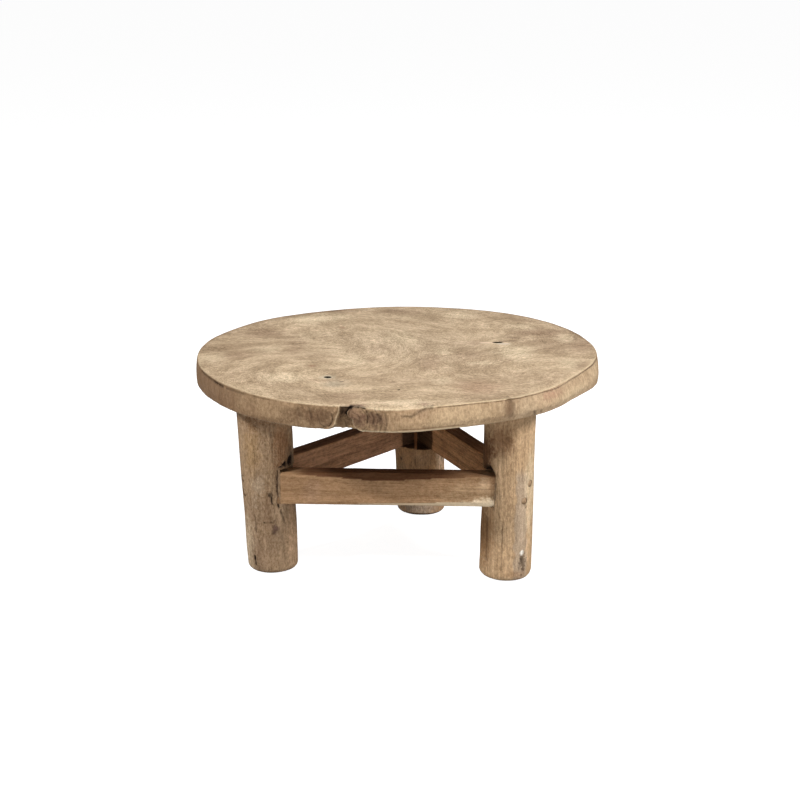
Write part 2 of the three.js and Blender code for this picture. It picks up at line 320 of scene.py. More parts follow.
def cut_away(obj: Object, cutters: list[Object]) -> None:
    """Takes closed cutters out of a piece and deletes them.

    Args:
        obj: The piece that is cut.
        cutters: The bodies to take away.
    """
    for cutter in cutters:
        only(obj)
        modifier = obj.modifiers.new("cut", "BOOLEAN")
        modifier.operation = "DIFFERENCE"
        modifier.solver = "EXACT"
        modifier.object = cutter
        bpy.ops.object.modifier_apply(modifier=modifier.name)
        bpy.data.objects.remove(cutter, do_unlink=True)


def chisel_cutter(low: Vector, high: Vector, place: Matrix, rough: float, seed: int) -> Object:
    """A chiselled box in a turned frame.

    Args:
        low: The box's lowest corner in the frame.
        high: The box's highest corner in the frame.
        place: The frame.
        rough: How far its walls wander.
        seed: Picks the wander.

    Returns:
        The box, to be cut away.
    """
    clear_selection()
    bpy.ops.mesh.primitive_cube_add(size=1)
    obj = named("cutter_box")
    set_mode("EDIT")
    bpy.ops.mesh.subdivide(number_cuts=13)
    set_mode("OBJECT")
    size, middle = high - low, (high + low) / 2
    points = points_of(obj) * np.array(size) + np.array(middle)
    for axis in (1, 2):
        wander = np.clip(layered(points / (5.0 * MM) + axis * 9.1, seed + axis, 2), -1, 1)
        points[:, axis] += rough * wander
    put_points(obj, points)
    obj.data.transform(place)
    return obj


def rod_at(name: str, across: float, start: Vector, end: Vector, sides: int = 32) -> Object:
    """A round rod between two points.

    Args:
        name: The new object's name.
        across: Its diameter.
        start: The middle of its first end.
        end: The middle of its last end.
        sides: How many sides it has.

    Returns:
        The rod, with its place in its mesh.
    """
    clear_selection()
    aim = end - start
    bpy.ops.mesh.primitive_cylinder_add(vertices=sides, radius=across / 2, depth=aim.length)
    obj = named(name)
    turn = Vector((0, 0, 1)).rotation_difference(aim.normalized())
    obj.data.transform(Matrix.Translation((start + end) / 2) @ turn.to_matrix().to_4x4())
    return obj


def finish_surface(obj: Object, degrees: float = 38.0) -> None:
    """Smooth shading that keeps edges over an angle."""
    only(obj)
    bpy.ops.object.shade_smooth_by_angle(angle=math.radians(degrees))


def store(obj: Object, name: str, values: Array) -> None:
    """Writes one number for each vertex as an attribute."""
    attribute = obj.data.attributes.get(name) or obj.data.attributes.new(name, "FLOAT", "POINT")
    attribute.data.foreach_set("value", values.astype(np.float32))


def fetch(obj: Object, name: str) -> Array:
    """Reads a number for each vertex from an attribute."""
    values = np.empty(len(obj.data.vertices), dtype=np.float32)
    obj.data.attributes[name].data.foreach_get("value", values)
    return values.astype(float)


def dress(obj: Object, material: Material, slot: str, *nodes: str) -> None:
    """Gives a piece its one material and its place in the frame.

    Args:
        obj: The piece.
        material: Its finish.
        slot: A material slot's name; not used.
        nodes: The CAD nodes that it stands for.
    """
    obj.data.materials.clear()
    obj.data.materials.append(material)
    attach(obj, "root")
    if nodes:
        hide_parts(*nodes)
    LOG.info("%s: %d faces", obj.name, len(obj.data.polygons))


# Shader groups


@dataclass
class Graph:
    """A node tree under construction. Its methods take sockets and plain values alike."""

    tree: Tree

    def feed(self, node: bpy.types.Node, sockets: dict) -> None:
        """Links or sets a node's inputs, by name or number."""
        for key, value in sockets.items():
            if isinstance(value, bpy.types.NodeSocket):
                self.tree.links.new(value, node.inputs[key])
            else:
                node.inputs[key].default_value = value

    def add(self, kind: str, sockets: dict | None = None, **settings: object) -> bpy.types.Node:
        """Adds a node.

        Args:
            kind: The node's type name.
            sockets: Its inputs, by name or number.
            settings: Its properties.

        Returns:
            The node.
        """
        node = self.tree.nodes.new(kind)
        for key, value in settings.items():
            setattr(node, key, value)
        self.feed(node, sockets or {})
        return node

    def math(self, operation: str, first: object, second: object = 0.0) -> object:
        """The result of an operation on two numbers."""
        return self.add("ShaderNodeMath", {0: first, 1: second}, operation=operation).outputs[0]

    def plus(self, first: object, second: object) -> object:
        """The sum of two numbers."""
        return self.math("ADD", first, second)

    def minus(self, first: object, second: object) -> object:
        """The difference of two numbers."""
        return self.math("SUBTRACT", first, second)

    def times(self, first: object, second: object) -> object:
        """The product of two numbers."""
        return self.math("MULTIPLY", first, second)

    def vector(self, operation: str, first: object, second: object = (0, 0, 0)) -> object:
        """The result of an operation on two vectors: a vector, or a number for a length or a product."""
        node = self.add("ShaderNodeVectorMath", {0: first, 1: second}, operation=operation)
        return node.outputs["Value" if operation in ("LENGTH", "DOT_PRODUCT") else "Vector"]

    def attribute(self, name: str) -> object:
        """The number that a piece keeps under a name."""
        return self.add("ShaderNodeAttribute", attribute_name=name).outputs["Fac"]

    def ramp(self, value: object, low: object, high: float, start: float = 0.0, end: float = 1.0) -> object:
        """A number carried from one range to another, eased and clamped."""
        span = {"Value": value, "From Min": low, "From Max": high, "To Min": start, "To Max": end}
        return self.add("ShaderNodeMapRange", span, interpolation_type="SMOOTHSTEP").outputs["Result"]

    def noise(self, vector: object, scale: object, detail: float = 3.0, rough: float = 0.55) -> object:
        """A noise texture's value."""
        sockets = {"Vector": vector, "Scale": scale, "Detail": detail, "Roughness": rough}
        return self.add("ShaderNodeTexNoise", sockets).outputs["Fac"]

    def mapped(self, vector: object, scale: tuple, turn: tuple = (0, 0, 0)) -> object:
        """A vector that is scaled and turned."""
        sockets = {"Vector": vector, "Scale": scale, "Rotation": turn}
        return self.add("ShaderNodeMapping", sockets, vector_type="POINT").outputs["Vector"]

    def push(self, vector: object, scale: float, reach: object, detail: float) -> object:
        """The vector moved by noise of one scale, as far as reach says."""
        source = self.add("ShaderNodeTexNoise", {"Vector": vector, "Scale": scale, "Detail": detail})
        centred = self.vector("SUBTRACT", source.outputs["Color"], (0.5, 0.5, 0.5))
        scaled = self.add("ShaderNodeVectorMath", {0: centred, "Scale": reach}, operation="SCALE")
        return self.vector("ADD", vector, scaled.outputs[0])

    def mix(self, share: object, first: object, second: object) -> object:
        """A mix of two colours."""
        sockets = {0: share, 6: first, 7: second}
        return self.add("ShaderNodeMix", sockets, data_type="RGBA", clamp_factor=True).outputs[2]

    def finish(self, sockets: dict) -> None:
        """Ends a material in a plain shader with these inputs."""
        shader = self.add("ShaderNodeBsdfPrincipled", sockets)
        self.add("ShaderNodeOutputMaterial", {"Surface": shader.outputs["BSDF"]})


def shader_group(name: str, inputs: dict[str, object], outputs: tuple[str, ...]) -> tuple:
    """A new shader group with named sockets.

    Args:
        name: The group's name.
        inputs: Socket names, each with its default number or vector.
        outputs: Names of the number outputs.

    Returns:
        The group's graph, the sockets that bring its inputs, and its output node.
    """
    graph = Graph(bpy.data.node_groups.new(name, "ShaderNodeTree"))
    sockets = graph.tree.interface
    for key, value in inputs.items():
        kind = "NodeSocketVector" if isinstance(value, tuple) else "NodeSocketFloat"
        sockets.new_socket(key, in_out="INPUT", socket_type=kind).default_value = value
    for key in outputs:
        sockets.new_socket(key, in_out="OUTPUT", socket_type="NodeSocketFloat")
    return graph, graph.add("NodeGroupInput").outputs, graph.add("NodeGroupOutput")


def grain_group() -> Tree:
    """Fibres, growth bands and finer marks of wood whose fibres run along the vector's X, in metres."""
    inputs = {"Vector": (0, 0, 0), "Fibre": 420.0, "Band": 70.0, "Stretch": 0.06, "Wander": 0.006}
    outputs = ("Fibres", "Bands", "Flecks", "Speckle", "Pores", "Stains", "Crackle")
    graph, given, end = shader_group("wood grain", inputs, outputs)
    moved = graph.push(given["Vector"], 9.0, given["Wander"], 3.0)
    moved = graph.push(moved, 60.0, 0.0016, 2.0)
    split = graph.add("ShaderNodeSeparateXYZ", {0: moved}).outputs

    def stretched(share: object) -> object:
        """The vector with its X squeezed, so that patterns run long along the fibres."""
        sockets = {0: graph.times(split["X"], share), 1: split["Y"], 2: split["Z"]}
        return graph.add("ShaderNodeCombineXYZ", sockets).outputs[0]

    long_way = stretched(given["Stretch"])
    speckle = graph.noise(stretched(0.7), 230.0, 5.0, 0.8)
    cells = {"Vector": stretched(0.6), "Scale": 430.0}
    net = graph.add("ShaderNodeTexVoronoi", cells, feature="DISTANCE_TO_EDGE").outputs["Distance"]
    graph.feed(end, {
        "Fibres": graph.ramp(graph.noise(long_way, given["Fibre"], 5.0, 0.65), 0.33, 0.67),
        "Bands": graph.ramp(graph.noise(long_way, given["Band"]), 0.33, 0.67),
        "Flecks": graph.ramp(graph.noise(stretched(0.4), 430.0, 4.0, 0.7), 0.36, 0.66),
        "Speckle": graph.ramp(speckle, 0.38, 0.62),
        "Pores": graph.ramp(graph.noise(stretched(0.1), 800.0, 2.0, 0.6), 0.6, 0.72),
        "Stains": graph.ramp(graph.noise(given["Vector"], 21.0, 5.0, 0.65), 0.38, 0.66),
        "Crackle": graph.times(graph.ramp(net, 0.2, 0.02), graph.ramp(speckle, 0.4, 0.6)),
    })
    return graph.tree


def figure_group() -> Tree:
    """The cloudy, broken figure of root wood on a level face."""
    inputs = {"Vector": (0, 0, 0), "Flow": 0.05, "Curl": 0.024}
    outputs = ("Clouds", "Patches", "Strokes", "Flecks", "Ridges", "Ripples")
    graph, given, end = shader_group("root figure", inputs, outputs)
    swept = given["Vector"]
    for centre, reach, turn in FIGURE_SWIRLS:
        away = graph.vector("MULTIPLY", graph.vector("SUBTRACT", swept, centre), (1 / reach, 1 / reach, 0))
        fall = graph.math("EXPONENT", graph.times(graph.vector("DOT_PRODUCT", away, away), -1.0))
        sockets = {"Vector": swept, "Center": centre, "Angle": graph.times(fall, turn)}
        swept = graph.add("ShaderNodeVectorRotate", sockets, rotation_type="Z_AXIS").outputs[0]
    swept = graph.push(swept, 6.0, given["Flow"], 2.0)
    swept = graph.push(swept, 27.0, given["Curl"], 2.0)

    def pattern(scale: Triple, detail: float, rough: float) -> object:
        """Noise that follows the swirls."""
        return graph.noise(graph.mapped(swept, scale), 1.0, detail, rough)

    patches = pattern((20.0, 24.0, 20.0), 6.0, 0.66)
    ridge = graph.math("ABSOLUTE", graph.minus(pattern((30.0, 66.0, 30.0), 2.0, 0.5), 0.5))
    wave = {"Vector": swept, "Scale": 52.0, "Distortion": 3.5, "Detail": 3.0, "Detail Scale": 1.2}
    ripples = graph.add("ShaderNodeTexWave", wave, wave_type="BANDS", bands_direction="Y").outputs["Fac"]
    places = graph.ramp(graph.noise(given["Vector"], 8.0, 2.0), 0.46, 0.6)
    graph.feed(end, {
        "Clouds": graph.ramp(pattern((7.0, 7.5, 6.0), 4.0, 0.6), 0.36, 0.64),
        "Patches": graph.ramp(patches, 0.33, 0.67),
        "Strokes": graph.ramp(pattern((105.0, 140.0, 80.0), 4.0, 0.7), 0.38, 0.62),
        "Flecks": graph.ramp(pattern((400.0, 260.0, 300.0), 3.0, 0.75), 0.4, 0.6),
        "Ridges": graph.times(graph.ramp(ridge, 0.03, 0.004), graph.ramp(patches, 0.42, 0.6)),
        "Ripples": graph.times(ripples, places),
    })
    return graph.tree


FIGURE_SWIRLS = (
    ((-0.106, -0.075, 0.0), 0.110, 1.1),
    ((0.190, -0.140, 0.0), 0.100, -1.3),
    ((-0.160, 0.150, 0.0), 0.130, -1.0),
    ((0.050, 0.040, 0.0), 0.110, 0.35),
    ((0.120, 0.190, 0.0), 0.100, -0.7),
)


def mark_group() -> Tree:
    """A soft oval mark, made uneven by its shake: 1 inside and 0 outside."""
    inputs = {
        "Vector": (0, 0, 0), "Centre": (0, 0, 0), "Reach": (0.01, 0.01, 0.01),
        "Turn": 0.0, "Soft": 0.5, "Shake": 0.0,
    }
    graph, given, end = shader_group("wood mark", inputs, ("Mask",))
    away = {"Vector": graph.vector("SUBTRACT", given["Vector"], given["Centre"]), "Angle": given["Turn"]}
    turned = graph.add("ShaderNodeVectorRotate", away, rotation_type="Z_AXIS").outputs[0]
    length = graph.vector("LENGTH", graph.vector("DIVIDE", turned, given["Reach"]))
    inner = graph.minus(1.0, given["Soft"])
    graph.feed(end, {"Mask": graph.ramp(graph.plus(length, given["Shake"]), inner, 1.0, 1.0, 0.0)})
    return graph.tree


# Finishes

DISPLAY_POWER = 2.2


def paint(colour: Colour) -> tuple[float, ...]:
    """A colour of display values from 0 to 255, made linear."""
    return (*((value / 255) ** DISPLAY_POWER for value in colour), 1.0)


def blank_material(name: str) -> tuple[Material, Graph, object]:
    """A material without nodes, its graph, and the socket of the place on the piece."""
    material = bpy.data.materials.new(name)
    material.use_nodes = True
    material.node_tree.nodes.clear()
    graph = Graph(material.node_tree)
    return material, graph, graph.add("ShaderNodeTexCoord").outputs["Object"]


@dataclass(frozen=True)
class Mark:
    """One mark on a colour: its place and reach in millimetres, and what it does to the colour. Some marks
    are natural, others are painted shade and painted highlights.
    """

    centre: Triple
    reach: Triple
    colour: Colour
    strength: float
    soft: float = 0.8
    ragged: float = 0.3
    turn: float = 0.0


@dataclass(frozen=True)
class Tones:
    """The colours of one wood, from its palest streaks to its cracks. The pale tone also gives wear and
    painted highlights, the deep tone stains and painted shade, and the crack tone the painted shade in
    hollows.
    """

    pale: Colour
    middle: Colour
    deep: Colour
    grey: Colour
    crack: Colour = (40, 25, 15)


UPRIGHT = (0.0, math.radians(90.0), 0.0)


@dataclass(frozen=True)
class LongWood:
    """Weathered wood whose fibres run one way, for the legs, rails and pegs."""

    name: str
    tones: Tones
    turn: Triple = UPRIGHT
    fibre: float = 420.0
    band: float = 70.0
    stretch: float = 0.06
    roughness: float = 0.8
    relief: float = 0.6
    mottle: float = 0.22
    streak: float = 0.3
    bark: tuple[int, ...] = ()
    marks: tuple[Mark, ...] = ()

    def build(self, groups: "Groups") -> Material:
        """Makes the material.

        Args:
            groups: The shared shader groups.

        Returns:
            The material.
        """
        material, graph, place = blank_material(self.name)
        tones = self.tones
        out = grain_along(graph, groups, place, self.turn, self.fibre, self.band, self.stretch)
        colour = graph.mix(graph.times(out["Stains"], 0.7), paint(tones.middle), paint(tones.grey))
        if self.bark:
            bark = graph.attribute("bark")
            broken = graph.times(out["Crackle"], bark)
            colour = graph.mix(graph.times(bark, 0.8), colour, paint(self.bark))
            colour = graph.mix(graph.times(broken, 0.4), colour, paint(tones.deep))
        colour = add_marks(graph, groups, place, colour, self.marks)
        layers = (
            (out["Bands"], self.streak), (out["Fibres"], self.streak),
            (out["Flecks"], self.mottle * 0.7), (out["Speckle"], self.mottle),
        )
        colour = add_contrast(graph, colour, layers)
        colour = graph.mix(graph.times(out["Pores"], 0.1 + self.mottle * 0.5), colour, paint(tones.crack))
        colour = add_edge_finish(graph, colour, tones)
        height = graph.times(graph.plus(out["Fibres"], out["Bands"]), 0.4)
        height = graph.plus(height, graph.times(out["Flecks"], 0.4 + self.mottle))
        height = graph.plus(height, graph.times(out["Speckle"], self.mottle * 1.6))
        height = graph.minus(height, graph.times(out["Pores"], 0.5))
        close(graph, colour, height, out["Fibres"], self.roughness, self.relief)
        return material


def grain_along(
    graph: Graph, groups: "Groups", place: object, turn: Triple, fibre: float, band: float, stretch: float
) -> object:
    """The patterns of long grain.

    Args:
        graph: The material's graph.
        groups: The shared shader groups.
        place: The socket of the position.
        turn: The turn that brings the fibres along X.
        fibre: How fine the fibres are.
        band: How fine the growth bands are.
        stretch: How far both are squeezed along the fibres.

    Returns:
        The grain group's outputs.
    """
    along = graph.mapped(place, (1, 1, 1), turn)
    sockets = {"Vector": along, "Fibre": fibre, "Band": band, "Stretch": stretch}
    return graph.add("ShaderNodeGroup", sockets, node_tree=groups.grain).outputs


def add_contrast(graph: Graph, colour: object, layers: Iterable, lift: object = 1.0) -> object:
    """Breaks a colour up into lighter and warmer, darker parts.

    Args:
        graph: The material's graph.
        colour: The colour so far.
        layers: Patterns that run from 0 to 1, each with its strength.
        lift: What the colour is scaled by before.

    Returns:
        The broken colour.
    """
    for pattern, strength in layers:
        lift = graph.plus(lift, graph.times(graph.minus(pattern, 0.5), strength))
    lift = graph.math("MAXIMUM", lift, 0.15)
    swing = {0: lift, 1: graph.math("POWER", lift, 1.08), 2: graph.math("POWER", lift, 1.2)}
    return graph.vector("MULTIPLY", colour, graph.add("ShaderNodeCombineXYZ", swing).outputs[0])


def add_marks(graph: Graph, groups: "Groups", place: object, colour: object, marks: tuple) -> object:
    """Lays marks over a colour: natural marks, painted shade and painted highlights.

    Args:
        graph: The material's graph.
        groups: The shared shader groups.
        place: The socket of the position.
        colour: The colour so far.
        marks: The marks, in order.

    Returns:
        The marked colour.
    """
    if not marks:
        return colour
    coarse, fine = (graph.minus(graph.noise(place, scale, 4.0, 0.65), 0.5) for scale in (45.0, 210.0))
    shake = graph.plus(graph.times(coarse, 3.0), graph.times(fine, 3.0))
    for mark in marks:
        sockets = {
            "Vector": place, "Centre": Vector(mark.centre) * MM, "Reach": Vector(mark.reach) * MM,
            "Turn": mark.turn, "Soft": mark.soft, "Shake": graph.times(shake, mark.ragged),
        }
        node = graph.add("ShaderNodeGroup", sockets, node_tree=groups.mark)
        colour = graph.mix(graph.times(node.outputs["Mask"], mark.strength), colour, paint(mark.colour))
    return colour


def add_edge_finish(graph: Graph, colour: object, tones: Tones) -> object:
    """Pales edges with wear and painted highlights, darkens stains and painted shade, and paints shade into
    the hollows, from the numbers that the piece keeps.
    """
    wear_and_highlight, stain_and_shade, hollow = (graph.attribute(name) for name in ("wear_and_highlight", "stain_and_shade", "hollow"))
    # Darker for stains, and for painted shade on faces kept from the light
    colour = graph.mix(graph.times(stain_and_shade, 0.9), colour, paint(tones.deep))
    # Paler for wear on edges, and for painted highlights on edges
    colour = graph.mix(graph.times(wear_and_highlight, 0.85), colour, paint(tones.pale))
    # Painted shade in cracks, pits, slots and gaps
    return graph.mix(hollow, colour, paint(tones.crack))


def close(
    graph: Graph, colour: object, height: object, variation: object, roughness: float, relief: float
) -> None:
    """Joins colour, height and roughness to a plain wood shader.

    Args:
        graph: The material's graph.
        colour: The socket of the colour.
        height: The socket of the relief.
        variation: The socket that varies the roughness.
        roughness: The middle roughness.
        relief: The relief's strength.
    """
    raised = graph.add("ShaderNodeBump", {"Height": height, "Strength": relief, "Distance": 0.6 * MM})
    graph.finish({
        "Base Color": colour,
        "Roughness": graph.ramp(variation, 0.0, 1.0, roughness + 0.08, roughness - 0.08),
        "Specular IOR Level": 0.12,
        "Normal": raised.outputs["Normal"],
    })


@dataclass(frozen=True)
class SlabWood:
    """Bleached root wood: a swirling figure on the level faces and upright streaks on the flank."""

    name: str
    top: Tones
    flank: Tones
    marks: tuple[Mark, ...] = ()
    spots: tuple[Mark, ...] = ()
    flank_marks: tuple[Mark, ...] = ()
    roughness: float = 0.72
    relief: float = 0.5

    def build(self, groups: "Groups") -> Material:
        """Makes the material.

        Args:
            groups: The shared shader groups.

        Returns:
            The material.
        """
        material, graph, place = blank_material(self.name)
        top, flank = self.top, self.flank
        out = graph.add("ShaderNodeGroup", {"Vector": place}, node_tree=groups.figure).outputs
        level = graph.mix(out["Clouds"], paint(top.grey), paint(top.middle))
        level = add_marks(graph, groups, place, level, self.marks)
        layers = ((out["Patches"], 0.36), (out["Strokes"], 0.2), (out["Flecks"], 0.4))
        lift = graph.plus(1.0, graph.times(out["Ridges"], 0.24))
        lift = graph.minus(lift, graph.times(out["Ripples"], 0.12))
        level = add_contrast(graph, level, layers, lift)
        level = add_marks(graph, groups, place, level, self.spots)
        fine = grain_along(graph, groups, place, UPRIGHT, 460.0, 80.0, 0.16)
        side = graph.mix(graph.times(fine["Stains"], 0.7), paint(flank.middle), paint(flank.grey))
        side = add_marks(graph, groups, place, side, self.flank_marks)
        across = graph.add("ShaderNodeSeparateXYZ", {0: place}).outputs["X"]
        calm = graph.ramp(across, -0.27, -0.17, 0.55, 1.0)
        flecks, speckle = (graph.times(calm, strength) for strength in (0.2, 0.3))
        strengths = {"Bands": 0.14, "Fibres": 0.08, "Flecks": flecks, "Speckle": speckle}
        side = add_contrast(graph, side, [(fine[name], share) for name, share in strengths.items()])
        on_flank = graph.attribute("flank")
        colour = add_edge_finish(graph, graph.mix(on_flank, level, side), flank)
        level_high = graph.plus(out["Strokes"], graph.times(out["Flecks"], 0.8))
        side_high = graph.plus(fine["Fibres"], graph.plus(fine["Flecks"], fine["Speckle"]))
        heights = {0: on_flank, 2: level_high, 3: side_high}
        height = graph.add("ShaderNodeMix", heights, data_type="FLOAT").outputs[0]
        close(graph, colour, height, out["Patches"], self.roughness, self.relief)
        return material


@dataclass(frozen=True)
class DullSteel:
    """Dulled steel with a brown bloom, for the leg screws."""

    name: str = "dull_steel"

    def build(self) -> Material:
        """Makes the material."""
        material, graph, place = blank_material(self.name)
        bloom = graph.ramp(graph.noise(place, 500.0, 4.0), 0.45, 0.65)
        graph.finish({
            "Base Color": graph.mix(bloom, paint((120, 116, 110)), paint((96, 70, 50))),
            "Roughness": graph.ramp(bloom, 0.0, 1.0, 0.42, 0.78),
            "Metallic": graph.ramp(bloom, 0.0, 1.0, 1.0, 0.55),
        })
        return material


@dataclass
class Groups:
    """The shader groups that the finishes share."""

    grain: Tree = field(default_factory=grain_group)
    figure: Tree = field(default_factory=figure_group)
    mark: Tree = field(default_factory=mark_group)


# Legs and rails share these places


@dataclass(frozen=True)
class LegPlace:
    """Where a leg stands and how thick it is, as in the frame."""

    foot: tuple[float, float]
    top: tuple[float, float]
    foot_across: float
    top_across: float
    girth_shares: tuple[float, ...]
    swell_shares: tuple[float, ...]


def plan_point(bearing: float, out: float) -> tuple[float, float]:
    """A point in plan from a bearing in degrees and a distance in metres."""
    angle = math.radians(bearing)
    return out * math.cos(angle), out * math.sin(angle)


SLAB_LOW, SLAB_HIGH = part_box("tabletop")
SLAB_UNDER = SLAB_LOW[2]
SLAB_TOP = SLAB_HIGH[2]
THICK = SLAB_TOP - SLAB_UNDER
TOP_Z = SLAB_TOP / MM
HALF_ACROSS = 300 * MM
LOG_RADIUS = 38 * MM
BLANK_RADIUS = 40 * MM
LEG_PLACES = {
    Side.LEFT: LegPlace(
        foot=plan_point(-156.1, 0.680 * HALF_ACROSS),
        top=plan_point(-157.3, 0.714 * HALF_ACROSS),
        foot_across=75 * MM,
        top_across=81 * MM,
        girth_shares=(1.02, 0.99, 0.98, 1.0, 1.01, 1.0, 0.98, 1.0, 1.01, 1.0, 0.99, 1.02),
        swell_shares=(0.98, 1.0, 0.99, 1.0, 1.01, 1.0),
    ),
    Side.RIGHT: LegPlace(
        foot=plan_point(-35.1, 0.651 * HALF_ACROSS),
        top=plan_point(-34.4, 0.663 * HALF_ACROSS),
        foot_across=77 * MM,
        top_across=74 * MM,
        girth_shares=(0.99, 1.01, 1.0, 0.98, 1.0, 1.02, 1.0, 0.99, 1.0, 1.01, 1.02, 0.99),
        swell_shares=(1.0, 1.01, 1.0, 0.99, 1.0, 1.0),
    ),
    Side.BACK: LegPlace(
        foot=plan_point(77.6, 0.596 * HALF_ACROSS),
        top=plan_point(80.2, 0.591 * HALF_ACROSS),
        foot_across=77 * MM,
        top_across=79 * MM,
        girth_shares=(1.0, 1.02, 1.0, 0.99, 0.98, 1.0, 1.01, 1.0, 1.0, 0.98, 1.01, 1.0),
        swell_shares=(0.99, 1.0, 1.01, 1.0, 0.99, 1.0),
    ),
}


def leg_middle(side: Side, height: float) -> Vector:
    """The middle of a leg at a height."""
    place = LEG_PLACES[side]
    foot, top = Vector((*place.foot, 0)), Vector((*place.top, 0))
    middle = foot.lerp(top, height / SLAB_UNDER)
    return Vector((middle.x, middle.y, height))


def leg_line(side: Side, share: Array) -> Array:
    """The middles of a leg in plan, at shares of its height."""
    foot, top = np.array(LEG_PLACES[side].foot), np.array(LEG_PLACES[side].top)
    return foot + (top - foot) * share[:, None]


def off_leg(side: Side, points: Array) -> tuple[Array, Array]:
    """The bearings and distances of points from a leg's middle line."""
    off = points[:, :2] - leg_line(side, np.clip(points[:, 2] / SLAB_UNDER, 0, 1))
    return np.arctan2(off[:, 1], off[:, 0]), np.hypot(off[:, 0], off[:, 1])


@dataclass(frozen=True)
class RailPlan:
    """One rail: the legs that it joins, its place, its wane and its pegs' places, as in the frame."""

    name: str
    start: Side
    end: Side
    start_rise: float
    end_rise: float
    top_wane: float
    foot_wane: float
    wane_place: float
    start_peg: float
    end_peg: float

    high = 48 * MM
    thick = 29.5 * MM
    middle_high = 135.5 * MM
    inner_step = 0.8 * MM
    end_gap = 1.2 * MM
    edge_ease = 1.5 * MM
    wane_spread = 0.5

    def frame(self) -> tuple[float, Matrix]:
        """The rail's length between the legs' middles, and its frame.

        Returns:
            The length, and a matrix with X along the rail, -Y outward and Z up.
        """
        up = Vector((0, 0, 1))
        start = leg_middle(self.start, self.middle_high) + up * self.start_rise
        end = leg_middle(self.end, self.middle_high) + up * self.end_rise
        along = (end - start).normalized()
        inward = up.cross(along).normalized()
        rise = along.cross(inward)
        matrix = Matrix((along, inward, rise)).transposed().to_4x4()
        matrix.translation = start
        return (end - start).length, matrix


RAIL_PLANS = (
    RailPlan("rail_front", Side.LEFT, Side.RIGHT, -2 * MM, 2 * MM, 8 * MM, 9 * MM, 0.5, 0.7, 0.59),
    RailPlan("rail_right", Side.RIGHT, Side.BACK, -1 * MM, 1 * MM, 1 * MM, 3 * MM, 0.6, 0.23, 0.5),
    RailPlan("rail_left", Side.BACK, Side.LEFT, 3 * MM, -1 * MM, 1 * MM, 4 * MM, 0.4, 0.5, 0.5),
)
PEG_ACROSS = 9.5 * MM
PEG_BITE = 26 * MM
PEG_STAND = 34 * MM
PEG_STAGGER = 10 * MM
PEG_DRILL = 60 * MM
PEG_PAST = 5 * MM
FIT = 0.3 * MM
PEG_HOLE = PEG_ACROSS + 2 * FIT


@dataclass(frozen=True)
class RailEnd:
    """One end of a rail in the rail's own frame."""

    leg: Side
    place: float
    outward: int
    peg_out: float

    @property
    def peg_high(self) -> float:
        """The peg's height from the rail's middle."""
        return self.outward * PEG_STAGGER

    def on_peg(self, matrix: Matrix, out: float) -> Vector:
        """The point of the peg's line that lies so far out of the rail's end."""
        return matrix @ Vector((self.place + self.outward * out, -self.peg_out, self.peg_high))

    def off_peg(self, local: Array) -> Array:
        """How far points in the rail's frame lie from the peg's line."""
        return np.hypot(local[:, 1] + self.peg_out, local[:, 2] - self.peg_high)


def rail_ends(plan: RailPlan) -> tuple[RailEnd, RailEnd]:
    """The two ends of a rail."""
    long, _ = plan.frame()
    first, last = (plan.inner_step + plan.thick * share for share in (plan.start_peg, plan.end_peg))
    return RailEnd(plan.start, 0.0, -1, first), RailEnd(plan.end, long, 1, last)


